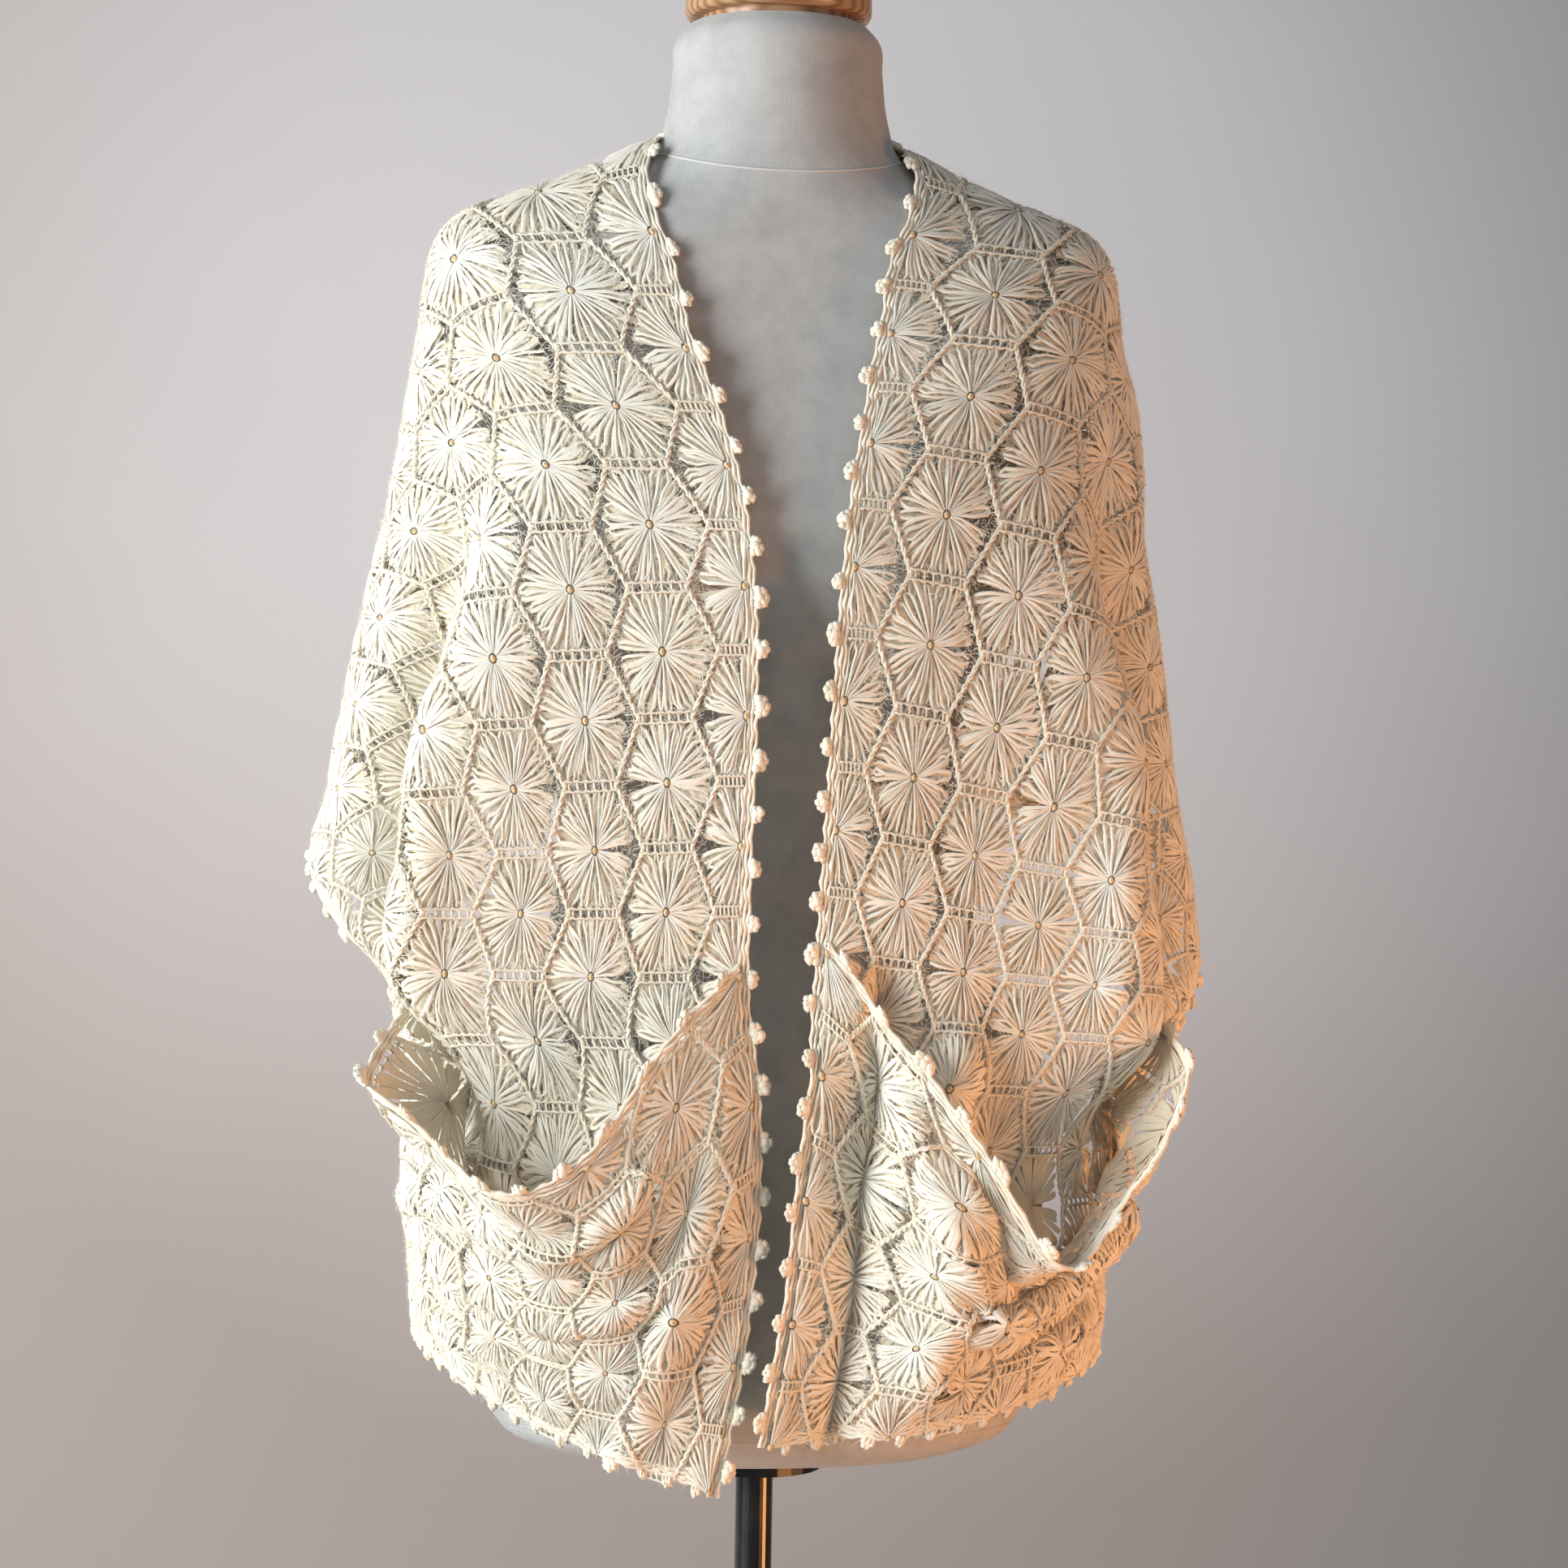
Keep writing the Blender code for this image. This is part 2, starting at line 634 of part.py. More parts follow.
def build_cap(material, collection):
    bottom = FORM_TOP + SEAM
    under = bottom + CAP_BOTTOM
    top = under + CAP_HEIGHT
    profile = [(0, bottom), (CAP_NECK_RADIUS, bottom), (CAP_NECK_RADIUS, under)]
    profile += rounded_corner(CAP_RADIUS, under, CAP_BOTTOM, 1, steps=3)
    profile += rounded_corner(CAP_RADIUS, top, CAP_ROUND, 0)
    profile += [(0, top)]
    turned_object("neck_cap", profile[::-1], material, collection)


def build_stand(material, collection):
    plate_top = FORM_BOTTOM - SEAM
    plate_bottom = plate_top - PLATE_HEIGHT
    plate = [(0, plate_top), (PLATE_RADIUS, plate_top), (PLATE_RADIUS, plate_bottom)]
    turned_object("mounting_plate", plate + [(0, plate_bottom)], material, collection)
    collar_top = BASE_HEIGHT + COLLAR_HEIGHT
    base = [(0, collar_top), (COLLAR_RADIUS, collar_top), (COLLAR_RADIUS, BASE_HEIGHT)]
    base += rounded_corner(BASE_RADIUS, BASE_HEIGHT, BASE_ROUND, 0)[::-1]
    base += [(BASE_RADIUS, 0), (0, 0)]
    turned_object("base", base, material, collection, steps=40)
    pole_top, pole_bottom = plate_bottom - SEAM, collar_top + SEAM
    bpy.ops.mesh.primitive_cylinder_add(
        vertices=32,
        radius=POLE_RADIUS,
        depth=pole_top - pole_bottom,
        location=(0, 0, (pole_top + pole_bottom) / 2),
    )
    pole = bpy.context.object
    pole.name = "pole"
    pole.data.materials.append(material)
    for owner in pole.users_collection:
        owner.objects.unlink(pole)
    collection.objects.link(pole)


def main():
    clear_scene()
    collection = bpy.data.collections.new("lace_pocket_shawl")
    bpy.context.scene.collection.children.link(collection)
    wool = new_material("cream_wool", (0.80, 0.70, 0.55), 0.9)
    linen = new_material("form_cover", (0.62, 0.60, 0.57), 0.85)
    wood = new_material("cap_wood", (0.42, 0.22, 0.11), 0.45)
    black = new_material("black_metal", (0.02, 0.02, 0.022), 0.25, 0.6)
    body = build_shawl_body(wool, collection)
    pockets = {}
    for side, name in ((-1, "left_pocket"), (1, "right_pocket")):
        pockets[side] = build_pocket(side, name, *body, wool, collection)
    build_edgings(body, pockets, wool, collection)
    build_form(linen, collection)
    build_cap(wood, collection)
    build_stand(black, collection)


main()
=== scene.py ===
"""The looks of a lace pocket shawl on a dress form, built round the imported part.

The wool lace follows the same drape as the solids: rungs of motifs across the shawl, laid on
rings that widen from the neck down. Every flower is a round of looped petals tied in the
middle, in a hexagon of crocheted chains and ladders, and a picot border runs all round.

Metres, +Z up, front at -Y. Left and right are the viewer's.
"""

import math

import bpy
import numpy as np
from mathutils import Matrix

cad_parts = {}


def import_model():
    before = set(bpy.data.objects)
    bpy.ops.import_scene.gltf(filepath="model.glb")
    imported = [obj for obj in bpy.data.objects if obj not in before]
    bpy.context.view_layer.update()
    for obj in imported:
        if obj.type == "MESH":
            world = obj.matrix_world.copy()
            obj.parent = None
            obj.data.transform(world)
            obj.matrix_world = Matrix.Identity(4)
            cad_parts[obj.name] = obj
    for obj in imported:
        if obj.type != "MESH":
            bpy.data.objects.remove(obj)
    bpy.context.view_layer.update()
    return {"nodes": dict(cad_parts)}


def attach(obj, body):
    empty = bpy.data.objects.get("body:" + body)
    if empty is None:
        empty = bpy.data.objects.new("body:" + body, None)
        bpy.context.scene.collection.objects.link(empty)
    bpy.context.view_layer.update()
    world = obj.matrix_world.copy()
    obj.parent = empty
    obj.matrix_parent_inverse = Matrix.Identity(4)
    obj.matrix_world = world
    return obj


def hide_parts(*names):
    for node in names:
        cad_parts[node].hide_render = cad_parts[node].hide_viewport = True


# The shawl as it is cut, the same as in the part.
MOTIFS_ACROSS = 8
ROWS = 13
POCKET_ROWS = 4
MOTIF_WIDTH = 0.0515
ROW_HEIGHT = 0.060
BORDER_WIDTH = 0.008
WALL = 0.002
SEAM = 0.0003
FORM_CLEARANCE = 0.0006

# The dress form: level, half width, front depth, back depth, squareness of its section.
FORM_LEVELS = (
    (0.720, 0.118, 0.074, 0.078, 2.2),
    (0.726, 0.137, 0.088, 0.092, 2.2),
    (0.745, 0.158, 0.101, 0.107, 2.2),
    (0.780, 0.167, 0.108, 0.116, 2.2),
    (0.840, 0.169, 0.109, 0.122, 2.2),
    (0.900, 0.165, 0.106, 0.119, 2.2),
    (0.970, 0.147, 0.098, 0.100, 2.2),
    (1.050, 0.122, 0.090, 0.080, 2.2),
    (1.110, 0.124, 0.094, 0.079, 2.2),
    (1.180, 0.139, 0.110, 0.088, 2.3),
    (1.240, 0.154, 0.122, 0.097, 2.3),
    (1.290, 0.170, 0.115, 0.103, 2.4),
    (1.340, 0.185, 0.101, 0.103, 2.5),
    (1.380, 0.194, 0.090, 0.098, 2.5),
    (1.402, 0.195, 0.084, 0.091, 2.4),
    (1.418, 0.185, 0.080, 0.085, 2.3),
    (1.430, 0.166, 0.077, 0.080, 2.2),
    (1.441, 0.140, 0.074, 0.076, 2.1),
    (1.453, 0.110, 0.071, 0.073, 2.0),
    (1.466, 0.087, 0.068, 0.070, 2.0),
    (1.480, 0.073, 0.065, 0.067, 2.0),
    (1.500, 0.066, 0.062, 0.064, 2.0),
    (1.530, 0.062, 0.060, 0.061, 2.0),
    (1.548, 0.060, 0.058, 0.058, 2.0),
    (1.556, 0.053, 0.051, 0.051, 2.0),
)

# Centre of the painted light on the wall: the paint is lightest here, and painted shade makes it darker
# and warmer further away.
PAINTED_WALL_LIGHT_SPOT = (0.22, 1.15, 1.50)

# Rings of the worn shawl from the neck out and down: ring, half width on the left and on the
# right, front depth, back depth, height at the side, at the front and at the back.
RINGS = (
    (0.0, 0.074, 0.074, 0.070, 0.068, 1.484, 1.450, 1.478),
    (1.0, 0.134, 0.134, 0.090, 0.090, 1.457, 1.400, 1.435),
    (2.0, 0.193, 0.193, 0.110, 0.108, 1.430, 1.340, 1.370),
    (3.0, 0.207, 0.205, 0.128, 0.118, 1.365, 1.275, 1.300),
    (4.0, 0.220, 0.215, 0.139, 0.122, 1.280, 1.205, 1.225),
    (5.0, 0.238, 0.230, 0.143, 0.126, 1.195, 1.130, 1.150),
    (6.0, 0.253, 0.241, 0.143, 0.132, 1.110, 1.055, 1.075),
    (7.0, 0.257, 0.254, 0.143, 0.138, 1.035, 0.980, 1.000),
    (7.5, 0.219, 0.255, 0.143, 0.139, 0.992, 0.943, 0.963),
    (8.0, 0.208, 0.220, 0.143, 0.140, 0.950, 0.905, 0.925),
    (9.0, 0.203, 0.205, 0.142, 0.140, 0.865, 0.830, 0.850),
    (10.0, 0.197, 0.197, 0.140, 0.138, 0.790, 0.755, 0.775),
    (11.0, 0.190, 0.190, 0.138, 0.136, 0.715, 0.680, 0.700),
)
RING_SQUARENESS = 2.3

# Rungs across the shawl on each side, from the middle of the back to the bottom fold: row of
# motifs, front edge's angle (0 is the front, 90 the side, 180 the back) and ring, hem's angle
# and ring, and how late the rung turns down between them.
RUNGS = {
    -1: (
        (0.0, 180.0, 0.00, 180.0, 5.60, 1.0),
        (1.0, 134.0, 0.00, 164.0, 5.62, 1.0),
        (2.0, 84.0, 0.02, 149.0, 5.70, 1.05),
        (3.0, 34.0, 0.95, 134.0, 5.85, 1.15),
        (4.0, 16.0, 1.93, 120.0, 6.05, 1.25),
        (5.0, 8.8, 2.88, 106.0, 6.25, 1.35),
        (6.0, 6.0, 3.83, 92.0, 6.50, 1.4),
        (7.0, 5.2, 4.78, 79.0, 6.75, 1.4),
        (8.0, 5.2, 5.73, 74.0, 7.14, 1.35),
        (9.0, 5.0, 6.68, 82.0, 7.68, 1.25),
        (10.0, 4.6, 7.63, 92.0, 8.40, 1.1),
        (11.0, 4.8, 8.58, 98.0, 9.05, 1.0),
        (12.0, 6.6, 9.53, 98.0, 9.52, 0.85),
        (13.0, 10.0, 10.48, 92.0, 9.99, 0.75),
    ),
    1: (
        (0.0, 180.0, 0.00, 180.0, 5.60, 1.0),
        (1.0, 134.0, 0.00, 164.0, 5.62, 1.0),
        (2.0, 82.0, 0.05, 149.0, 5.70, 1.05),
        (3.0, 31.0, 0.82, 134.0, 5.90, 1.15),
        (4.0, 14.5, 1.70, 119.0, 6.15, 1.25),
        (5.0, 9.0, 2.66, 102.0, 6.50, 1.3),
        (6.0, 6.2, 3.66, 88.0, 6.90, 1.35),
        (7.0, 4.6, 4.66, 77.5, 7.20, 1.35),
        (8.0, 3.6, 5.60, 73.0, 7.50, 1.25),
        (9.0, 2.8, 6.50, 79.0, 7.95, 1.15),
        (10.0, 2.0, 7.40, 87.0, 8.45, 1.1),
        (11.0, 1.0, 8.30, 90.0, 9.00, 1.0),
        (12.0, 0.0, 9.20, 90.0, 9.55, 1.0),
        (13.0, -2.0, 10.10, 84.0, 10.05, 1.0),
    ),
}

# Folds of each side: middle angle at the top and at the bottom, half width in degrees, how far
# the ridge stands out, how far it leans towards the side, and the rings where it starts, is
# full, starts to fade and ends.
FOLDS = {
    -1: (
        (36.0, 41.0, 10.0, 0.022, 0.030, 2.6, 5.4, 7.0, 8.8),
        (57.0, 59.0, 9.0, -0.042, 0.0, 3.0, 5.6, 7.0, 8.6),
        (128.0, 128.0, 12.0, 0.012, 0.0, 3.0, 5.5, 6.5, 9.0),
        (150.0, 150.0, 12.0, -0.010, 0.0, 3.0, 5.5, 6.5, 9.0),
    ),
    1: (
        (37.0, 42.0, 10.0, 0.020, 0.024, 2.6, 5.4, 7.0, 8.8),
        (58.0, 60.0, 9.0, -0.036, 0.0, 3.0, 5.6, 7.0, 8.6),
        (132.0, 132.0, 12.0, 0.012, 0.0, 3.0, 5.5, 6.5, 9.0),
        (154.0, 154.0, 12.0, -0.010, 0.0, 3.0, 5.5, 6.5, 9.0),
    ),
}

# The pockets' mouths: motif step from the front edge, how far the mouth stands out from the
# shawl there, and how far it sags. POCKET_TURN is how far the way out turns to the side.
POCKET_MOUTHS = {
    -1: (
        (0.0, 0.000, 0.000),
        (1.0, 0.018, 0.042),
        (2.0, 0.036, 0.100),
        (3.0, 0.040, 0.118),
        (4.0, 0.030, 0.088),
        (5.0, 0.028, 0.046),
        (6.0, 0.018, 0.018),
        (7.0, 0.008, 0.006),
        (8.0, 0.000, 0.000),
    ),
    1: (
        (0.0, 0.000, 0.000),
        (1.0, 0.012, 0.045),
        (2.0, 0.036, 0.098),
        (3.0, 0.046, 0.152),
        (4.0, 0.034, 0.118),
        (5.0, 0.028, 0.056),
        (6.0, 0.018, 0.018),
        (7.0, 0.008, 0.006),
        (8.0, 0.000, 0.000),
    ),
}
POCKET_TURN = 25.0
OUT_POWER = 0.9
SAG_POWER = 1.6

# Soft folds that the solids leave out. Each runs between two flat places of a side: motif step
# and row of its start and end, half width in metres, and height of the fold.
SOFT_FOLDS = {
    -1: (
        (4.2, 6.0, 4.6, 9.5, 0.016, 0.006),
        (2.0, 10.3, 6.5, 10.9, 0.012, 0.006),
        (2.6, 11.4, 7.0, 11.6, 0.011, -0.006),
        (1.5, 12.2, 6.0, 12.3, 0.012, 0.006),
        (0.4, 10.5, 1.6, 13.0, 0.014, 0.006),
    ),
    1: (
        (0.9, 9.4, 1.1, 13.0, 0.017, -0.019),
        (0.0, 10.0, 0.0, 13.0, 0.012, 0.006),
        (2.1, 9.8, 2.3, 12.4, 0.018, 0.014),
        (2.8, 11.6, 6.5, 11.0, 0.012, 0.008),
        (3.0, 12.4, 7.0, 12.0, 0.012, -0.007),
        (3.4, 3.0, 4.4, 9.0, 0.016, 0.006),
    ),
}

# Creases of each pocket's own panel: motif step and row up of the start and the end, half
# width in metres, and height.
POCKET_CREASES = {
    -1: (
        (1.6, 3.3, 4.8, 2.5, 0.009, 0.008),
        (2.4, 2.6, 6.4, 1.9, 0.009, -0.006),
        (1.2, 1.9, 5.6, 1.5, 0.010, 0.007),
        (2.6, 1.0, 7.0, 0.9, 0.009, -0.005),
        (0.3, 3.4, 1.2, 1.2, 0.010, 0.006),
    ),
    1: (
        (1.3, 3.6, 2.9, 1.6, 0.009, 0.010),
        (2.2, 3.5, 3.6, 2.0, 0.009, -0.007),
        (2.4, 1.5, 6.0, 1.9, 0.009, 0.008),
        (3.0, 1.0, 6.6, 1.1, 0.008, -0.006),
        (4.6, 3.2, 6.8, 2.3, 0.009, 0.007),
        (2.6, 0.5, 6.0, 0.6, 0.008, 0.005),
    ),
}

# Samples of the drape for each row of motifs and across the shawl.
DRAPE_PER_ROW = 16
DRAPE_ACROSS = 128

# One flower: loops of yarn round its centre, and the hexagon that holds them.
LOOPS = 28
HEXAGON_SIDE = 0.0343
KNOT_RADIUS = 0.0016
RIM_MARGIN = 0.0016
PETAL_HALF_WIDTH = 0.0021
STRAND_WIDTH = 0.0019
STRAND_HEIGHT = 0.0009
PETAL_LIFT = 0.0022
GAP_HALF_ANGLE = 7.0
HAIRS = 700
PICOTS_PER_ROW = 2.4
FOLD_BORDER_UP = 0.007

# The stand, as in the part.
CAP_RADIUS = 0.0552
CAP_NECK_RADIUS = 0.046
CAP_BOTTOM = 0.0045
CAP_HEIGHT = 0.040

FORM_BOTTOM = FORM_LEVELS[0][0]
FORM_TOP = FORM_LEVELS[-1][0]

# The camera: distance from the form's axis, height, turn towards the viewer's left, and lean.
CAMERA_DISTANCE = 2.0
CAMERA_HEIGHT = 1.11
CAMERA_TURN = math.radians(-7.0)
CAMERA_LEAN = math.radians(0.95)
CAMERA_LENS = 77.64
CAMERA_SHIFT = 0.01165

rng = np.random.default_rng(7)


def through(rows, where):
    """The columns of a table at places between its rows, on a smooth curve through them."""
    table = np.asarray(rows, float)
    key, value = table[:, 0], table[:, 1:]
    step = np.diff(key)[:, None]
    slope = np.diff(value, axis=0) / step
    tangent = np.empty_like(value)
    tangent[0], tangent[-1] = slope[0], slope[-1]
    tangent[1:-1] = (slope[:-1] * step[1:] + slope[1:] * step[:-1]) / (step[1:] + step[:-1])
    where = np.clip(np.asarray(where, float), key[0], key[-1])
    low = np.clip(np.searchsorted(key, where, side="right") - 1, 0, len(key) - 2)
    span = (key[low + 1] - key[low])[..., None]
    part = (where - key[low])[..., None] / span
    return (
        (1 + 2 * part) * (1 - part) ** 2 * value[low]
        + part * (1 - part) ** 2 * span * tangent[low]
        + part**2 * (3 - 2 * part) * value[low + 1]
        + part**2 * (part - 1) * span * tangent[low + 1]
    )


def smooth_step(x):
    x = np.clip(x, 0, 1)
    return x * x * (3 - 2 * x)


def ring_point(side, angle, ring):
    """A point of the worn shawl at an angle round the form and a ring, with the folds."""
    columns = np.moveaxis(through(RINGS, ring), -1, 0)
    left, right, front, back, z_side, z_front, z_back = columns
    width = left if side < 0 else right
    sine, cosine = np.sin(np.radians(angle)), np.cos(np.radians(angle))
    power = 2 / RING_SQUARENESS
    depth = np.where(cosine > 0, front, back)
    x = width * np.sign(sine) * np.abs(sine) ** power
    y = -np.sign(cosine) * depth * np.abs(cosine) ** power
    z = z_side + (np.where(cosine > 0, z_front, z_back) - z_side) * cosine**2
    out_x, out_y = x / width**2, y / depth**2
    length = np.hypot(out_x, out_y) + 1e-12
    out_x, out_y = out_x / length, out_y / length
    along_x, along_y = -out_y, out_x
    turned = np.where(along_y < 0, -1.0, 1.0)
    along_x, along_y = along_x * turned, along_y * turned
    out = np.zeros_like(x)
    lean = np.zeros_like(x)
    for top, bottom, half, ridge, over, start, full, fade, end in FOLDS[side]:
        middle = top + (bottom - top) * np.clip((ring - start) / (end - start), 0, 1)
        bell = np.exp(-(((angle - middle) / half) ** 2))
        grown = smooth_step((ring - start) / (full - start))
        grown = grown * smooth_step((end - ring) / (end - fade))
        out += ridge * bell * grown
        lean += over * bell * grown
    x = x + out_x * out + along_x * lean
    y = y + out_y * out + along_y * lean
    return np.stack([side * x, y, z], axis=-1)


def form_reach(point, clearance):
    """Below 0 inside the dress form or within the clearance of it, above 0 outside."""
    width, front, back, square = np.moveaxis(through(FORM_LEVELS, point[..., 2]), -1, 0)
    depth = np.where(point[..., 1] < 0, front, back) + clearance
    across = np.abs(point[..., 0] / (width + clearance)) ** square
    along = np.abs(point[..., 1] / depth) ** square
    return (across + along) ** (1 / square) - 1


def way_out(points, clearance):
    """The move that takes each point inside the form or its clearance out of it."""
    step = 0.0005
    value = form_reach(points, clearance)
    inside = (value < 0) & (points[..., 2] > FORM_BOTTOM) & (points[..., 2] < FORM_TOP)
    slopes = [(form_reach(points + axis * step, clearance) - value) / step for axis in np.eye(3)]
    gradient = np.stack(slopes, axis=-1)
    move = -value[..., None] * gradient / ((gradient**2).sum(-1)[..., None] + 1e-9)
    length = np.linalg.norm(move, axis=-1, keepdims=True)
    move = move * np.minimum(1, 0.01 / (length + 1e-9))
    return np.where(inside[..., None], move, 0)


def clear_of_form(points, clearance):
    """Points moved out until none lies in the form or nearer than the clearance."""
    for _ in range(30):
        move = way_out(points, clearance)
        if not move.any():
            break
        points = points + move * 1.02
    return points


def drape_sheet():
    """The worn shawl from one bottom fold over the neck to the other: [row, across, xyz]."""
    halves = {}
    for side in (-1, 1):
        along = np.linspace(0, ROWS, ROWS * DRAPE_PER_ROW + 1)
        columns = np.moveaxis(through(RUNGS[side], along), -1, 0)
        angle_in, ring_in, angle_out, ring_out, late = [value[:, None] for value in columns]
        part = np.linspace(0, 1, DRAPE_ACROSS + 1)[None, :]
        angle = angle_in + (angle_out - angle_in) * (1 - (1 - part) ** late)
        ring = ring_in + (ring_out - ring_in) * part**late
        path = clear_of_form(ring_point(side, angle, ring), FORM_CLEARANCE)
        gone = np.zeros(path.shape[:2])
        gone[:, 1:] = np.cumsum(np.linalg.norm(np.diff(path, axis=1), axis=-1), axis=1)
        points = np.empty_like(path)
        for row in range(len(along)):
            even = np.linspace(0, gone[row, -1], DRAPE_ACROSS + 1)
            for axis in range(3):
                points[row, :, axis] = np.interp(even, gone[row], path[row, :, axis])
        normals = np.cross(np.gradient(points, axis=0), np.gradient(points, axis=1))
        normals *= side / (np.linalg.norm(normals, axis=-1, keepdims=True) + 1e-12)
        across = np.broadcast_to(part * MOTIFS_ACROSS, points.shape[:2])
        rows = np.broadcast_to(along[:, None], points.shape[:2])
        points = points + normals * folded(SOFT_FOLDS[side], across, rows)[..., None]
        halves[side] = clear_of_form(points, FORM_CLEARANCE)
    return np.concatenate([halves[-1][::-1], halves[1][1:]])


def folded(table, across, rows):
    """The height of the folds of a table over flat places."""
    height = np.zeros(across.shape)
    scale = np.array([MOTIF_WIDTH, ROW_HEIGHT])
    place = np.stack([across, rows], -1) * scale
    for u_start, row_start, u_end, row_end, half, ridge in table:
        start = np.array([u_start, row_start]) * scale
        run = np.array([u_end, row_end]) * scale - start
        share = np.clip(((place - start) @ run) / (run @ run), 0, 1)
        swing = np.sin(share * math.pi * 2) * half * 0.4
        away = place - start - share[..., None] * run
        distance = np.linalg.norm(away, axis=-1) + swing * 0
        height += ridge * np.exp(-((distance / half) ** 2))
    return height


class Sheet:
    """A draped panel that flat places are laid on."""

    def __init__(self, points, first_row, outward):
        self.points = points
        self.first_row = first_row
        along, across = np.gradient(points, axis=0), np.gradient(points, axis=1)
        normals = np.cross(along, across) * outward
        self.normals = normals / (np.linalg.norm(normals, axis=-1, keepdims=True) + 1e-12)

    def sample(self, values, u, v):
        rows, columns = values.shape[:2]
        x = np.clip(u / MOTIFS_ACROSS, 0, 1) * (columns - 1)
        y = np.clip((v - self.first_row) * DRAPE_PER_ROW, 0, rows - 1)
        column = np.minimum(x.astype(int), columns - 2)
        row = np.minimum(y.astype(int), rows - 2)
        x, y = (x - column)[..., None], (y - row)[..., None]
        near = values[row, column] * (1 - x) + values[row, column + 1] * x
        far = values[row + 1, column] * (1 - x) + values[row + 1, column + 1] * x
        return near * (1 - y) + far * y

    def lay(self, u, v, out):
        """World points of flat places, a height above the inner side of the cloth."""
        u, v = np.asarray(u, float), np.asarray(v, float)
        over_u = (u - np.clip(u, 0, MOTIFS_ACROSS))[..., None]
        last = self.first_row + (len(self.points) - 1) / DRAPE_PER_ROW
        over_v = (v - np.clip(v, self.first_row, last))[..., None]
        step = 0.25
        at = self.sample(self.points, u, v)
        normal = self.sample(self.normals, u, v)
        inner_u = np.clip(u, 0, MOTIFS_ACROSS) - np.sign(over_u[..., 0]) * step
        across = (at - self.sample(self.points, inner_u, v)) / step
        size = np.linalg.norm(across, axis=-1, keepdims=True) + 1e-9
        across = across / size * MOTIF_WIDTH
        inner_v = np.clip(v, self.first_row, last) - np.sign(over_v[..., 0]) * step
        along = (at - self.sample(self.points, u, inner_v)) / step
        size = np.linalg.norm(along, axis=-1, keepdims=True) + 1e-9
        along = along / size * ROW_HEIGHT
        at = at + np.abs(over_u) * across + np.abs(over_v) * along
        return at + normal * np.asarray(out, float)[..., None]


def pocket_sheet(body, side):
    """The turned-up end, in rows up from the fold, bulging from the shawl between its seams."""
    up = np.linspace(0, POCKET_ROWS, POCKET_ROWS * DRAPE_PER_ROW + 1)[:, None]
    across = np.linspace(0, MOTIFS_ACROSS, DRAPE_ACROSS + 1)[None, :]
    up, across = np.broadcast_arrays(up, across)
    points = body.lay(across, side * (ROWS - up), np.full(up.shape, WALL + SEAM))
    out, sag = np.moveaxis(through(POCKET_MOUTHS[side], across), -1, 0)
    height = up / POCKET_ROWS
    turn = np.radians(POCKET_TURN * across / MOTIFS_ACROSS)
    points[..., 0] += side * np.sin(turn) * out * height**OUT_POWER
    points[..., 1] -= np.cos(turn) * out * height**OUT_POWER
    points[..., 2] -= sag * height**SAG_POWER
    sheet = Sheet(points, 0.0, -side)
    crease = folded(POCKET_CREASES[side], across, up) * np.clip(up / 0.6, 0, 1)
    seams = np.clip(np.minimum(across, MOTIFS_ACROSS - across) / 0.8, 0, 1)
    points = points + sheet.normals * (crease * seams)[..., None]
    return Sheet(points, 0.0, -side)


class MeshMaker:
    """Gathers many small quads and triangles into one mesh."""

    def __init__(self):
        self.points = []
        self.faces = []
        self.grains = []
        self.count = 0

    def add(self, points, faces, grain=None):
        """points [..., 3] flattened, faces as numbers into them, and where the fibres run."""
        points = np.asarray(points, float).reshape(-1, 3)
        if grain is None:
            grain = np.zeros_like(points)
        self.points.append(points)
        self.grains.append(np.asarray(grain, float).reshape(-1, 3))
        self.faces.append(np.asarray(faces, int) + self.count)
        self.count += len(points)

    def gathered(self):
        return [np.concatenate(rows) for rows in (self.points, self.faces, self.grains)]

    def finish(self, name, material, smooth=True):
        points = np.concatenate(self.points)
        mesh = bpy.data.meshes.new(name)
        widths = [faces.shape[1] for faces in self.faces]
        loops = np.concatenate([faces.ravel() for faces in self.faces])
        totals = np.concatenate([np.full(len(f), w) for f, w in zip(self.faces, widths)])
        starts = np.concatenate([[0], np.cumsum(totals)[:-1]])
        mesh.vertices.add(len(points))
        mesh.vertices.foreach_set("co", points.ravel())
        mesh.loops.add(len(loops))
        mesh.loops.foreach_set("vertex_index", loops)
        mesh.polygons.add(len(totals))
        mesh.polygons.foreach_set("loop_start", starts)
        mesh.polygons.foreach_set("use_smooth", np.full(len(totals), smooth))
        mesh.update(calc_edges=True)
        grain = mesh.attributes.new("grain", "FLOAT_VECTOR", "POINT")
        grain.data.foreach_set("vector", np.concatenate(self.grains).ravel())
        mesh.validate()
        mesh.materials.append(material)
        item = bpy.data.objects.new(name, mesh)
        bpy.context.scene.collection.objects.link(item)
        return item


def strip_faces(lines, stations, sides, closed):
    """Quads of many strips: point order [line, station, side]."""
    line = np.arange(lines)[:, None, None]
    station = np.arange(stations - 1)[None, :, None]
    side = np.arange(sides if closed else sides - 1)[None, None, :]
    after = (side + 1) % sides
    base = (line * stations + station) * sides
    ahead = base + sides
    return np.stack([base + side, base + after, ahead + after, ahead + side], -1).reshape(-1, 4)


def fibre_grain(shape, turns, length):
    """Where each point lies in its yarn [line, station, side]: round it, along it, which yarn."""
    grain = np.zeros((*shape, 3))
    grain[..., 0] = np.linspace(0, turns, shape[2])
    grain[..., 1] = np.linspace(0, length, shape[1])[:, None]
    grain[..., 2] = rng.uniform(0, 60, shape[0])[:, None, None]
    return grain


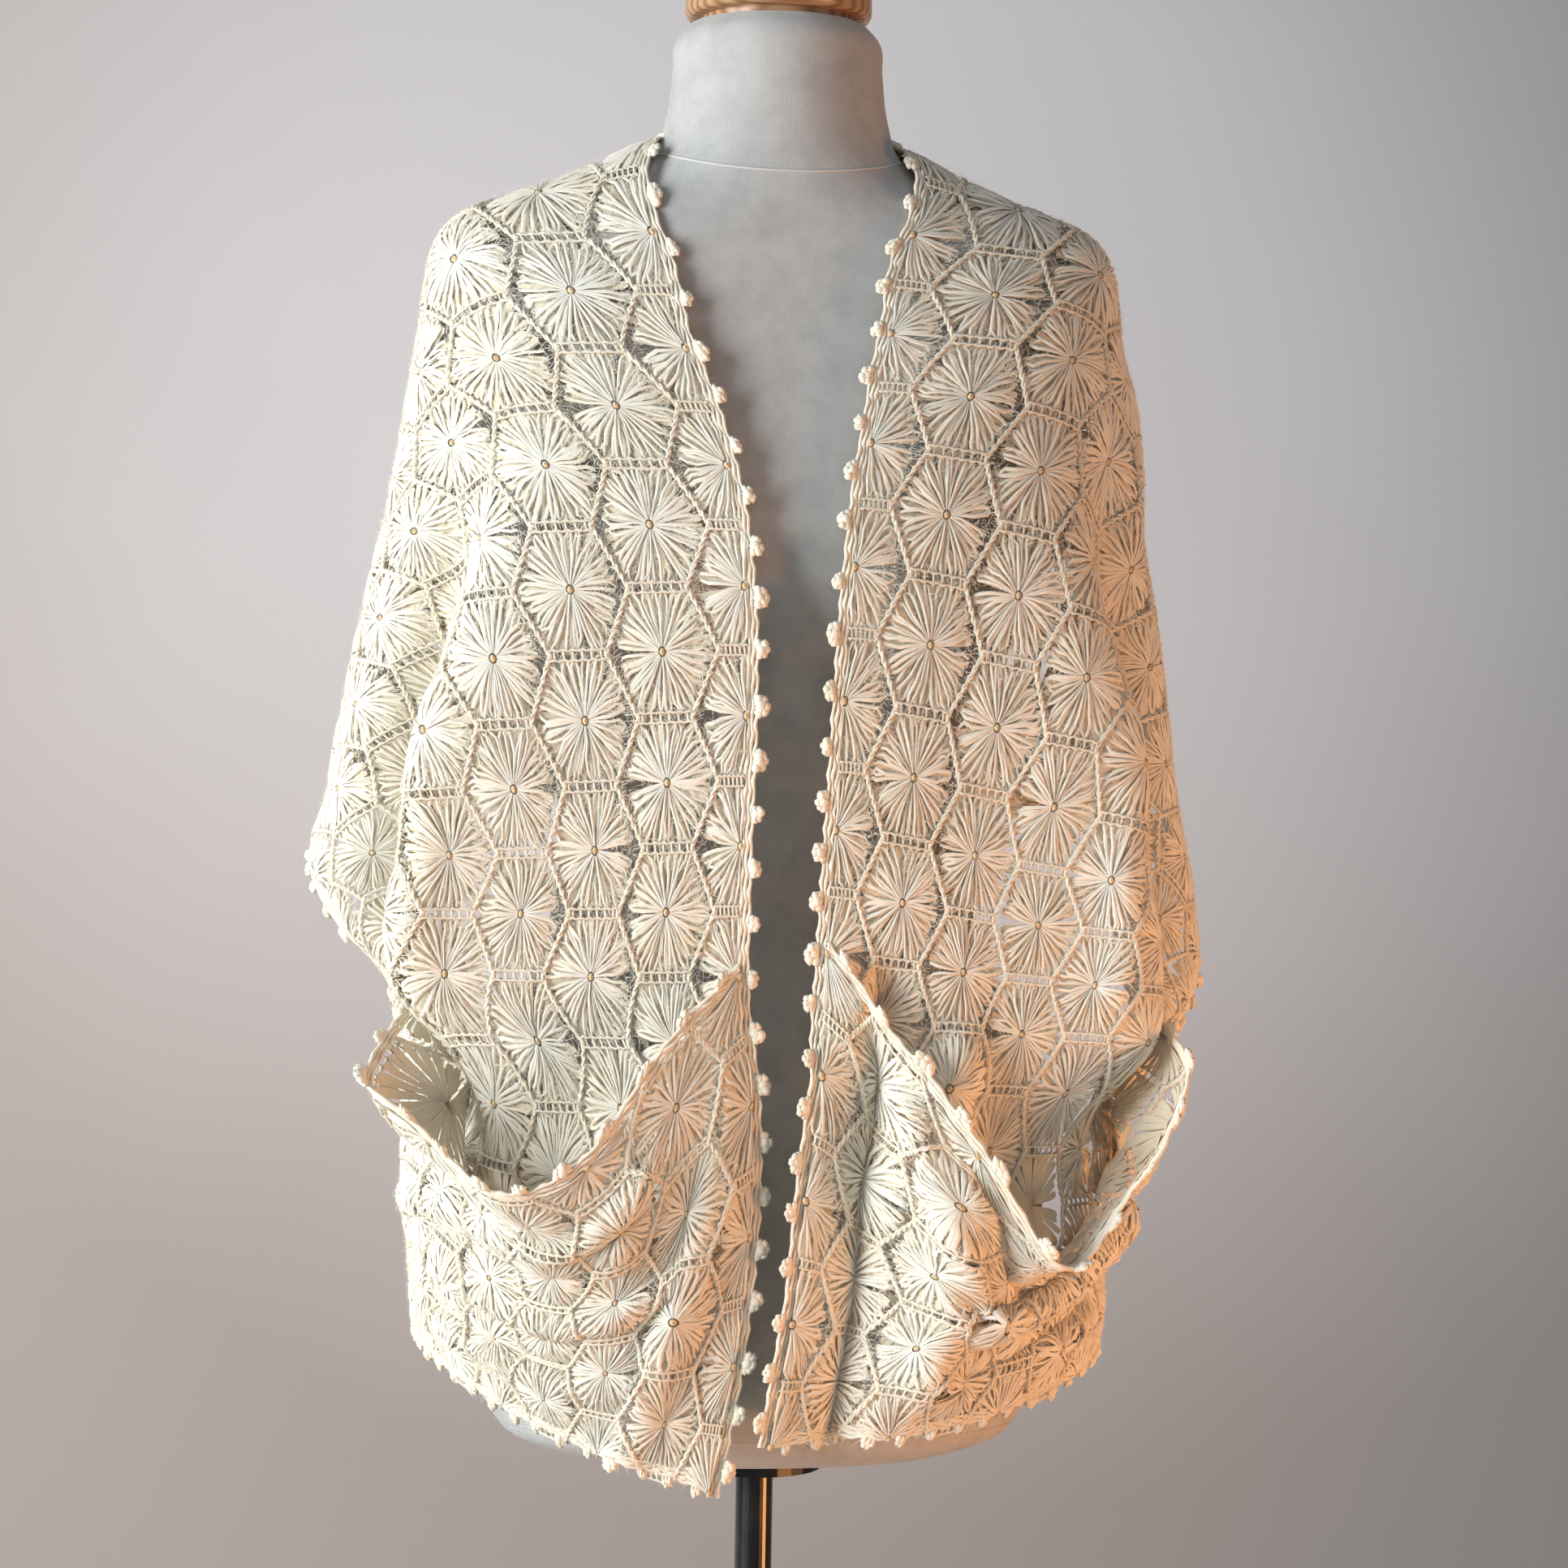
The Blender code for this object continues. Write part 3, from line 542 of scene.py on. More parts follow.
def hexagon_reach(angle):
    """Distance from a motif's centre to its hexagon, along a flat angle."""
    apothem = HEXAGON_SIDE * math.sqrt(3) / 2
    faces = np.radians([30, 90, 150, 210, 270, 330])
    return apothem / np.max(np.cos(angle[..., None] - faces), axis=-1)


def motif_centres(first_row, last_row):
    """Column and row of every motif of a panel, with half ones at its edges."""
    centres = []
    for column in range(MOTIFS_ACROSS + 1):
        row = first_row + (column % 2) / 2
        while row <= last_row:
            centres.append((column, row))
            row += 1
    return centres


def gap_side(column):
    """The side corner where a flower's petals leave a gap."""
    return -1 if column == MOTIFS_ACROSS or column % 4 in (2, 3) else 1


def petals_of(column, row, first_row, last_row):
    """Flat angle and length of each loop of one flower, inside the panel."""
    pitch = 2 * math.pi / LOOPS
    angle = (np.arange(LOOPS) + 0.5) * pitch + rng.uniform(-0.16, 0.16, LOOPS) * pitch
    middle = 0 if gap_side(column) > 0 else math.pi
    off = (angle - middle + math.pi) % (2 * math.pi) - math.pi
    opened = math.radians(GAP_HALF_ANGLE)
    push = np.sign(off) * opened * np.exp(-np.abs(off) / math.radians(28))
    angle = angle + push
    reach = hexagon_reach(angle) - RIM_MARGIN
    reach = np.where(np.abs(off) < math.radians(30), reach * 0.90, reach)
    x, y = np.cos(angle), np.sin(angle)
    kept = np.ones(LOOPS, bool)
    if column == 0:
        kept &= x > 0.06
    if column == MOTIFS_ACROSS:
        kept &= x < -0.06
    if row == first_row:
        kept &= y > 0.06
    if row == last_row:
        kept &= y < -0.06
    return angle[kept], reach[kept]


def add_strands(maker, sheet, column, row, angle, reach, height):
    """The two strands of each loop of a flower, as ridged ribbons."""
    count = len(angle)
    part = np.array([0.03, 0.30, 0.58, 0.82, 0.95, 1.0])
    spread = np.array([0.10, 0.42, 0.86, 1.0, 0.66, 0.16])
    width = np.array([0.55, 0.75, 0.95, 1.0, 0.95, 0.8])
    lift = np.array([0.95, 1.15, 1.0, 0.72, 0.42, 0.2])
    side = np.array([-1.0, 1.0])[None, :, None]
    bend = rng.normal(0, 0.0020, (count, 1, 1)) + rng.normal(0, 0.0006, (count, 2, 1))
    wave = rng.normal(0, 0.0008, (count, 2, len(part)))
    radius = KNOT_RADIUS + (reach[:, None, None] - KNOT_RADIUS) * part
    radius = radius * (1 + rng.normal(0, 0.025, (count, 1, 1)) + rng.normal(0, 0.01, (count, 2, 1)))
    sideways = side * spread * PETAL_HALF_WIDTH * rng.uniform(0.8, 1.15, (count, 1, 1))
    sideways = sideways + bend * part**2 + wave * part
    raised = height + PETAL_LIFT * lift * rng.uniform(0.65, 1.25, (count, 2, 1))
    raised = raised + rng.normal(0, 0.00022, raised.shape)
    cosine, sine = np.cos(angle)[:, None, None], np.sin(angle)[:, None, None]
    half = STRAND_WIDTH / 2 * width * rng.uniform(0.8, 1.2, (count, 2, 1))
    rails = []
    for across, up in ((-1, 0.0), (0, 1.0), (1, 0.0)):
        away = sideways + across * half
        x = radius * cosine - away * sine
        y = radius * sine + away * cosine
        rails.append(np.stack([x, y, raised + up * STRAND_HEIGHT * width], -1))
    rails = np.stack(rails, -2)
    points = sheet.lay(
        column + rails[..., 0] / MOTIF_WIDTH, row + rails[..., 1] / ROW_HEIGHT, rails[..., 2]
    )
    grain = fibre_grain((count * 2, len(part), 3), 3.2, 5.0)
    maker.add(points, strip_faces(count * 2, len(part), 3, closed=False), grain)


def worn_thin(column, row):
    """Where the cloth is stretched over the chest and shoulder, and the form shows through."""
    return 2 < row < 8.2 or (-8.2 < row < -3 and column < 4)


def add_web(maker, sheet, column, row, angle, reach):
    """The felted yarn under a flower: one wedge for each petal. Its darker, warmer tan than the petals is
    painted shade in the gaps between them, over the cream of the wool.
    """
    part = np.array([0.0, 0.35, 0.7, 0.9, 1.0])
    cover = np.array([0.3, 1.02, 0.96, 0.78, 0.5])
    if worn_thin(column, row):
        cover = cover * 0.88
    pitch = 2 * math.pi / LOOPS
    radius = KNOT_RADIUS * 0.5 + reach[:, None] * part * 0.985
    half = radius * math.tan(pitch / 2) * cover
    cosine, sine = np.cos(angle)[:, None], np.sin(angle)[:, None]
    rails = []
    for across, up in ((-1, 0.0005), (0, 0.0009), (1, 0.0005)):
        away = across * half
        x, y = radius * cosine - away * sine, radius * sine + away * cosine
        rails.append(np.stack([x, y, np.full_like(x, up)], -1))
    rails = np.stack(rails, -2)
    points = sheet.lay(
        column + rails[..., 0] / MOTIF_WIDTH, row + rails[..., 1] / ROW_HEIGHT, rails[..., 2]
    )
    grain = fibre_grain((len(angle), len(part), 3), 7.0, 5.0)
    maker.add(points, strip_faces(len(angle), len(part), 3, closed=False), grain)


def add_knot(maker, sheet, column, row, height):
    """The small wound knot that ties a flower's middle."""
    turns = np.linspace(0, 2 * math.pi, 7)[:-1]
    levels = ((0.0020, 0.0), (0.0018, 0.0010), (0.0010, 0.0016), (0.0003, 0.0018))
    x = np.array([[radius * math.cos(a) for a in turns] for radius, _ in levels])
    y = np.array([[radius * math.sin(a) for a in turns] for radius, _ in levels])
    up = np.array([[level + height + PETAL_LIFT * 0.7] * len(turns) for _, level in levels])
    points = sheet.lay(column + x / MOTIF_WIDTH, row + y / ROW_HEIGHT, up)
    maker.add(points, strip_faces(1, len(levels), len(turns), closed=True))


def add_hair(maker, sheet, column, row, first_row, last_row, height, count):
    """Fine loose fibres that stand off the yarn."""
    angle = rng.uniform(0, 2 * math.pi, count)
    reach = np.sqrt(rng.uniform(0.02, 1.0, count)) * hexagon_reach(angle)
    x, y = reach * np.cos(angle), reach * np.sin(angle)
    inside = np.ones(count, bool)
    if column == 0:
        inside &= x > 0
    if column == MOTIFS_ACROSS:
        inside &= x < 0
    if row == first_row:
        inside &= y > 0
    if row == last_row:
        inside &= y < 0
    x, y, angle = x[inside], y[inside], angle[inside]
    count = len(x)
    heading = angle + rng.normal(0, 0.9, count)
    length = rng.uniform(0.003, 0.011, count)
    lean = rng.uniform(0.0003, 0.0036, count)
    width = 0.00013
    base = height + PETAL_LIFT * rng.uniform(0.3, 1.2, count)
    ex, ey = np.cos(heading), np.sin(heading)
    px = np.stack([x - ey * width, x + ey * width, x + ex * length], -1)
    py = np.stack([y + ex * width, y - ex * width, y + ey * length], -1)
    up = np.stack([base, base, base + lean], -1)
    points = sheet.lay(column + px / MOTIF_WIDTH, row + py / ROW_HEIGHT, up)
    maker.add(points, np.arange(count * 3).reshape(-1, 3))


def add_tube(maker, sheet, path, radius, sides=4, lift=0.0):
    """Tubes along flat paths [line, station, (u, v, out)], with a radius at each station."""
    place = sheet.lay(path[..., 0], path[..., 1], path[..., 2] + lift)
    ahead = np.gradient(place, axis=1)
    ahead /= np.linalg.norm(ahead, axis=-1, keepdims=True) + 1e-12
    normal = sheet.sample(sheet.normals, path[..., 0], path[..., 1])
    sidewise = np.cross(ahead, normal)
    sidewise /= np.linalg.norm(sidewise, axis=-1, keepdims=True) + 1e-12
    upright = np.cross(sidewise, ahead)
    turn = np.linspace(0, 2 * math.pi, sides, endpoint=False) + math.pi / sides
    ring = sidewise[..., None, :] * np.cos(turn)[:, None]
    ring = ring + upright[..., None, :] * np.sin(turn)[:, None]
    points = place[..., None, :] + ring * radius[..., None, None]
    grain = fibre_grain((*path.shape[:2], sides), 5.0, 0.5 * path.shape[1])
    grain[..., 0] += 1.5 * grain[..., 1]
    maker.add(points, strip_faces(path.shape[0], path.shape[1], sides, closed=True), grain)


def flat_key(u, v):
    return round(u * 900), round(v * 900)


def panel_edges(first_row, last_row):
    """The slanted chains and the level ladders between a panel's motifs, each once."""
    chains, ladders = {}, {}
    corners = ((2 / 3, 0), (1 / 3, 1 / 2), (-1 / 3, 1 / 2), (-2 / 3, 0), (-1 / 3, -1 / 2), (1 / 3, -1 / 2))
    for column, row in motif_centres(first_row, last_row):
        for k in range(6):
            one = (column + corners[k][0], row + corners[k][1])
            two = (column + corners[(k + 1) % 6][0], row + corners[(k + 1) % 6][1])
            level = k in (1, 4)
            if level:
                one, two = sorted((one, two))
                one = (max(one[0], 0), one[1])
                two = (min(two[0], MOTIFS_ACROSS), two[1])
            middle = ((one[0] + two[0]) / 2, (one[1] + two[1]) / 2)
            if not (0 <= min(one[0], two[0]) and max(one[0], two[0]) <= MOTIFS_ACROSS):
                continue
            if not (first_row <= min(one[1], two[1]) and max(one[1], two[1]) <= last_row):
                continue
            (ladders if level else chains)[flat_key(*middle)] = (one, two)
    return list(chains.values()), list(ladders.values())


def add_chains(maker, sheet, chains, height):
    """Two yarns that cross over and over between two corners of a hexagon."""
    stations = 15
    part = np.linspace(-0.04, 1.04, stations)
    ends = np.array(chains)
    for phase in (0.0, math.pi):
        swing = np.sin(part * math.pi * 7 + phase) * 0.0009
        run = ends[:, 1] - ends[:, 0]
        flat = run * np.array([MOTIF_WIDTH, ROW_HEIGHT])
        length = np.linalg.norm(flat, axis=1, keepdims=True)
        across = np.stack([-flat[:, 1], flat[:, 0]], -1) / length
        u = ends[:, :1, 0] + run[:, :1] * part + across[:, :1] * swing / MOTIF_WIDTH
        v = ends[:, :1, 1] + run[:, 1:] * part + across[:, 1:] * swing / ROW_HEIGHT
        out = height + 0.0017 + np.cos(part * math.pi * 7 + phase) * 0.0005
        out = np.broadcast_to(out, u.shape)
        path = np.stack([u, v, out], -1)
        radius = 0.00088 * (1 + 0.25 * np.abs(np.sin(part * math.pi * 7)))
        add_tube(maker, sheet, path, np.broadcast_to(radius, u.shape))


def add_ladders(maker, sheet, ladders, height):
    """Two crocheted rails with short posts between them, where two motifs meet."""
    ends = np.array(ladders)
    half = 0.0023
    stations = 13
    part = np.linspace(-0.03, 1.03, stations)
    run = ends[:, 1, 0] - ends[:, 0, 0]
    for rail in (-1, 1):
        wobble = np.where(np.arange(stations) % 2, 0.00035, -0.00035)
        u = ends[:, 0, 0][:, None] + run[:, None] * part
        v = ends[:, 0, 1][:, None] + (rail * half + wobble) / ROW_HEIGHT + 0 * u
        out = np.full(u.shape, height + 0.0020)
        radius = np.where(np.arange(stations) % 2, 0.00118, 0.00068)
        add_tube(maker, sheet, np.stack([u, v, out], -1), np.broadcast_to(radius, u.shape))
    for post in range(6):
        share = (post + 0.5) / 6
        u = ends[:, 0, 0][:, None] + run[:, None] * share + np.array([[-0.006, 0.0, 0.006]])
        v = ends[:, 0, 1][:, None] + np.array([[-half, 0, half]]) / ROW_HEIGHT + 0 * u
        out = height + np.array([[0.0016, 0.0024, 0.0016]]) + 0 * u
        add_tube(maker, sheet, np.stack([u, v, out], -1), np.full(u.shape, 0.0008), sides=3)


def lace_panel(name, sheet, first_row, last_row, rows, materials, covered_from=99):
    """The flowers, chains and loose fibres of the rows of a panel that lie in a range."""
    strands, hair, cords = MeshMaker(), MeshMaker(), MeshMaker()
    web, knots = MeshMaker(), MeshMaker()
    height = 0.0006
    for column, row in motif_centres(first_row, last_row):
        if not rows[0] <= row < rows[1]:
            continue
        angle, reach = petals_of(column, row, first_row, last_row)
        if len(angle) == 0:
            continue
        add_web(web, sheet, column, row, angle, reach)
        if abs(row) > covered_from:
            continue
        add_strands(strands, sheet, column, row, angle, reach, height)
        add_knot(knots, sheet, column, row, height)
        add_hair(hair, sheet, column, row, first_row, last_row, height, HAIRS)
    chains, ladders = panel_edges(first_row, last_row)
    chains = [edge for edge in chains if rows[0] <= (edge[0][1] + edge[1][1]) / 2 < rows[1]]
    ladders = [edge for edge in ladders if rows[0] <= edge[0][1] < rows[1]]
    add_chains(cords, sheet, chains, height)
    add_ladders(cords, sheet, ladders, height)
    pieces = [
        strands.finish(name + "_flowers", materials["yarn"]),
        hair.finish(name + "_fibres", materials["fibre"]),
        cords.finish(name + "_chains", materials["cord"]),
        knots.finish(name + "_knots", materials["knot"]),
    ]
    return web, pieces


def add_border(maker, sheet, path_at, length_rows, lift):
    """Crocheted bands along an edge. path_at(s, out) gives the flat place."""
    stations = int(length_rows * 14) + 1
    s = np.linspace(0, length_rows, stations)
    for out, phase, size in ((0.0012, 0.0, 0.0012), (0.0034, 1.2, 0.0013), (0.0056, 2.4, 0.0012)):
        swing = np.sin(s * 29 + phase) * 0.0006
        u, v = path_at(s, out + swing)
        up = lift + 0.0018 + np.cos(s * 29 + phase) * 0.0004
        radius = size * (1 + 0.22 * np.sin(s * 58 + phase))
        path = np.stack([u, v, up], -1)[None]
        add_tube(maker, sheet, path, radius[None], sides=5)


def add_picots(maker, sheet, path_at, length_rows, lift):
    """The picots on the border's outer side: each a curl of lumpy yarn."""
    count = int(round(length_rows * PICOTS_PER_ROW))
    for number in range(count):
        s = (number + 0.5) * length_rows / count + rng.normal(0, 0.015)
        size = rng.uniform(0.85, 1.15)
        for turn in np.radians((-15, 35, 90, 145, 195)) + rng.normal(0, 0.15, 5):
            along = 0.0030 * size * math.cos(turn)
            out = 0.0078 + 0.0027 * size * math.sin(turn)
            lump = size * rng.uniform(0.0019, 0.0026)
            add_ball(maker, sheet, path_at, s + along / ROW_HEIGHT, out, lump, lift)
        add_ball(maker, sheet, path_at, s, 0.0080, 0.0031 * size, lift)


def add_ball(maker, sheet, path_at, s, out, size, lift):
    """A lump of yarn."""
    rings, sides = 5, 7
    polar = np.linspace(0.16, math.pi - 0.16, rings)[:, None]
    turn = np.linspace(0, 2 * math.pi, sides, endpoint=False)[None, :]
    lump = 1 + 0.16 * np.sin(turn * 2 + polar * 3 + rng.uniform(0, 6))
    along = size * np.sin(polar) * np.cos(turn) * lump
    away = size * np.cos(polar) * np.ones_like(turn) * lump
    up = size * 0.85 * np.sin(polar) * np.sin(turn) * lump + rng.normal(0, 0.0004)
    u, v = path_at(s + along / ROW_HEIGHT, out + away)
    points = sheet.lay(u, v, lift + 0.0024 + up)
    grain = fibre_grain((1, rings, sides), 4.0, 3.0)
    maker.add(points, strip_faces(1, rings, sides, closed=True), grain)


def front_edge(s, out):
    return 0 * s - out / MOTIF_WIDTH, s - ROWS


def hem_edge(s, out):
    return MOTIFS_ACROSS + out / MOTIF_WIDTH + 0 * s, s - ROWS


def mouth_edge(s, out):
    return s * ROW_HEIGHT / MOTIF_WIDTH, POCKET_ROWS + out / ROW_HEIGHT + 0 * s


def fold_edge(s, out):
    return s * ROW_HEIGHT / MOTIF_WIDTH, (FOLD_BORDER_UP - out) / ROW_HEIGHT + 0 * s


def build_border(name, sheet, path_at, length_rows, material):
    maker = MeshMaker()
    add_border(maker, sheet, path_at, length_rows, 0.0)
    add_picots(maker, sheet, path_at, length_rows, 0.0)
    return maker.finish(name, material)


def node_material(name):
    material = bpy.data.materials.new(name)
    material.use_nodes = True
    nodes, links = material.node_tree.nodes, material.node_tree.links
    return material, nodes, links, nodes["Principled BSDF"]


def noise(nodes, scale, detail=3.0, roughness=0.6):
    texture = nodes.new("ShaderNodeTexNoise")
    texture.inputs["Scale"].default_value = scale
    texture.inputs["Detail"].default_value = detail
    texture.inputs["Roughness"].default_value = roughness
    return texture


def ramp(nodes, stops):
    element = nodes.new("ShaderNodeValToRGB")
    band = element.color_ramp
    while len(band.elements) < len(stops):
        band.elements.new(0.5)
    for spot, (place, colour) in zip(band.elements, stops):
        spot.position = place
        spot.color = (*colour, 1.0)
    return element


def object_coordinates(nodes):
    return nodes.new("ShaderNodeTexCoord").outputs["Object"]


def wool_material(name, light, dark, scale, bump_strength, translucent=0.0):
    """Brushed wool: mottled cream with a soft sheen, and fine fibres that run along the yarn."""
    material, nodes, links, shader = node_material(name)
    coordinates = object_coordinates(nodes)
    grain = nodes.new("ShaderNodeAttribute")
    grain.attribute_name = "grain"
    broad, fine, fibres = noise(nodes, 14.0), noise(nodes, scale, 4.0), noise(nodes, 1.6, 3.0)
    links.new(coordinates, broad.inputs["Vector"])
    links.new(coordinates, fine.inputs["Vector"])
    links.new(grain.outputs["Vector"], fibres.inputs["Vector"])
    mix = nodes.new("ShaderNodeMath")
    mix.operation = "MULTIPLY_ADD"
    mix.inputs[1].default_value = 0.5
    links.new(broad.outputs["Fac"], mix.inputs[0])
    half = nodes.new("ShaderNodeMath")
    half.operation = "MULTIPLY"
    half.inputs[1].default_value = 0.5
    links.new(fibres.outputs["Fac"], half.inputs[0])
    links.new(half.outputs[0], mix.inputs[2])
    colours = ramp(nodes, ((0.32, dark), (0.58, light)))
    links.new(mix.outputs[0], colours.inputs["Fac"])
    links.new(colours.outputs["Color"], shader.inputs["Base Color"])
    rough = nodes.new("ShaderNodeMath")
    rough.operation = "MULTIPLY_ADD"
    rough.inputs[1].default_value = 0.4
    links.new(fine.outputs["Fac"], rough.inputs[0])
    links.new(fibres.outputs["Fac"], rough.inputs[2])
    bump = nodes.new("ShaderNodeBump")
    bump.inputs["Strength"].default_value = bump_strength
    bump.inputs["Distance"].default_value = 0.0009
    links.new(rough.outputs[0], bump.inputs["Height"])
    links.new(bump.outputs["Normal"], shader.inputs["Normal"])
    shader.inputs["Roughness"].default_value = 0.9
    shader.inputs["Specular IOR Level"].default_value = 0.2
    shader.inputs["Sheen Weight"].default_value = 0.6
    shader.inputs["Sheen Roughness"].default_value = 0.5
    shader.inputs["Sheen Tint"].default_value = (1.0, 0.94, 0.84, 1.0)
    shader.inputs["Subsurface Weight"].default_value = translucent
    shader.inputs["Subsurface Radius"].default_value = (0.004, 0.003, 0.002)
    shader.inputs["Subsurface Scale"].default_value = 1.0
    return material


def linen_material():
    """The form's cover: a fine plain weave in pale grey-white."""
    material, nodes, links, shader = node_material("linen_cover")
    coordinates = object_coordinates(nodes)
    heights = []
    for axis in ("X", "Z"):
        wave = nodes.new("ShaderNodeTexWave")
        wave.bands_direction = axis
        wave.inputs["Scale"].default_value = 260.0
        wave.inputs["Distortion"].default_value = 1.6
        wave.inputs["Detail"].default_value = 2.0
        wave.inputs["Detail Scale"].default_value = 6.0
        links.new(coordinates, wave.inputs["Vector"])
        heights.append(wave.outputs["Fac"])
    weave = nodes.new("ShaderNodeMath")
    weave.operation = "ADD"
    links.new(heights[0], weave.inputs[0])
    links.new(heights[1], weave.inputs[1])
    slub = noise(nodes, 60.0, 4.0)
    links.new(coordinates, slub.inputs["Vector"])
    total = nodes.new("ShaderNodeMath")
    total.operation = "MULTIPLY_ADD"
    total.inputs[1].default_value = 0.25
    links.new(weave.outputs[0], total.inputs[0])
    links.new(slub.outputs["Fac"], total.inputs[2])
    colours = ramp(nodes, ((0.35, (0.38, 0.375, 0.36)), (0.95, (0.54, 0.53, 0.51))))
    links.new(total.outputs[0], colours.inputs["Fac"])
    links.new(colours.outputs["Color"], shader.inputs["Base Color"])
    bump = nodes.new("ShaderNodeBump")
    bump.inputs["Strength"].default_value = 0.25
    bump.inputs["Distance"].default_value = 0.0004
    links.new(weave.outputs[0], bump.inputs["Height"])
    links.new(bump.outputs["Normal"], shader.inputs["Normal"])
    shader.inputs["Roughness"].default_value = 0.85
    shader.inputs["Sheen Weight"].default_value = 0.15
    return material


def wood_material():
    """Turned pale wood, grain in rings across the cap."""
    material, nodes, links, shader = node_material("turned_wood")
    coordinates = object_coordinates(nodes)
    stretch = nodes.new("ShaderNodeMapping")
    stretch.inputs["Scale"].default_value = (1.0, 6.0, 14.0)
    links.new(coordinates, stretch.inputs["Vector"])
    grain = nodes.new("ShaderNodeTexWave")
    grain.bands_direction = "Y"
    grain.inputs["Scale"].default_value = 7.0
    grain.inputs["Distortion"].default_value = 7.0
    grain.inputs["Detail"].default_value = 4.0
    links.new(stretch.outputs["Vector"], grain.inputs["Vector"])
    colours = ramp(
        nodes, ((0.0, (0.30, 0.14, 0.06)), (0.5, (0.46, 0.25, 0.12)), (1.0, (0.56, 0.33, 0.17)))
    )
    links.new(grain.outputs["Fac"], colours.inputs["Fac"])
    links.new(colours.outputs["Color"], shader.inputs["Base Color"])
    bump = nodes.new("ShaderNodeBump")
    bump.inputs["Strength"].default_value = 0.15
    bump.inputs["Distance"].default_value = 0.0004
    links.new(grain.outputs["Fac"], bump.inputs["Height"])
    links.new(bump.outputs["Normal"], shader.inputs["Normal"])
    shader.inputs["Roughness"].default_value = 0.38
    shader.inputs["Coat Weight"].default_value = 0.25
    shader.inputs["Coat Roughness"].default_value = 0.2
    return material


def black_material():
    """Black enamelled steel with faint wear."""
    material, nodes, links, shader = node_material("black_enamel")
    wear = noise(nodes, 35.0, 6.0)
    links.new(object_coordinates(nodes), wear.inputs["Vector"])
    colours = ramp(nodes, ((0.4, (0.012, 0.012, 0.013)), (0.75, (0.035, 0.034, 0.034))))
    links.new(wear.outputs["Fac"], colours.inputs["Fac"])
    links.new(colours.outputs["Color"], shader.inputs["Base Color"])
    rough = nodes.new("ShaderNodeMapRange")
    rough.inputs["To Min"].default_value = 0.16
    rough.inputs["To Max"].default_value = 0.34
    links.new(wear.outputs["Fac"], rough.inputs["Value"])
    links.new(rough.outputs["Result"], shader.inputs["Roughness"])
    shader.inputs["Metallic"].default_value = 0.6
    shader.inputs["Coat Weight"].default_value = 0.5
    return material


def plain_material(name, colour, roughness):
    material, nodes, links, shader = node_material(name)
    tone = noise(nodes, 2.2, 4.0)
    links.new(object_coordinates(nodes), tone.inputs["Vector"])
    lighter = tuple(min(1.0, c * 1.03) for c in colour)
    colours = ramp(nodes, ((0.3, colour), (0.7, lighter)))
    links.new(tone.outputs["Fac"], colours.inputs["Fac"])
    links.new(colours.outputs["Color"], shader.inputs["Base Color"])
    shader.inputs["Roughness"].default_value = roughness
    return material


def form_point(level, angle):
    """A point of the covered form at a level and an angle from the viewer's right."""
    width, front, back, square = np.moveaxis(through(FORM_LEVELS, level), -1, 0)
    sine, cosine = np.sin(angle), np.cos(angle)
    depth = np.where(sine < 0, front, back)
    x = width * np.sign(cosine) * np.abs(cosine) ** (2 / square)
    y = depth * np.sign(sine) * np.abs(sine) ** (2 / square)
    return np.stack([x, y, level + 0 * x], -1)


def build_form(material):
    """The covered torso, closed at its neck and below."""
    sides = 128
    levels = [FORM_LEVELS[0][0]]
    for low, high in zip(FORM_LEVELS, FORM_LEVELS[1:]):
        levels += list(np.linspace(low[0], high[0], 6)[1:])
    angle = np.linspace(0, 2 * math.pi, sides, endpoint=False)[None, :]
    level = np.array(levels)[:, None]
    level, angle = np.broadcast_arrays(level, angle)
    points = form_point(level, angle)
    maker = MeshMaker()
    maker.add(points, strip_faces(1, len(levels), sides, closed=True))
    for ring, height in ((points[0], levels[0]), (points[-1], levels[-1])):
        middle = np.array([[0.0, 0.0, height]])
        steps = np.arange(sides)
        fan = np.stack([steps, (steps + 1) % sides, np.full(sides, sides)], -1)
        maker.add(np.concatenate([ring, middle]), fan)
    item = maker.finish("form_cover", material)
    return item


def seam_curve(points, radius, name, material):
    """A thin sewn ridge along points of the form."""
    maker = MeshMaker()
    place = np.asarray(points, float)[None]
    ahead = np.gradient(place, axis=1)
    ahead /= np.linalg.norm(ahead, axis=-1, keepdims=True) + 1e-12
    centre = place * np.array([1, 1, 0])
    out = centre / (np.linalg.norm(centre, axis=-1, keepdims=True) + 1e-9)
    sidewise = np.cross(ahead, out)
    sidewise /= np.linalg.norm(sidewise, axis=-1, keepdims=True) + 1e-12
    turn = np.linspace(0, 2 * math.pi, 6, endpoint=False)
    ring = sidewise[..., None, :] * np.cos(turn)[:, None] + out[..., None, :] * np.sin(turn)[:, None]
    maker.add(place[..., None, :] + ring * radius, strip_faces(1, place.shape[1], 6, closed=True))
    return maker.finish(name, material)


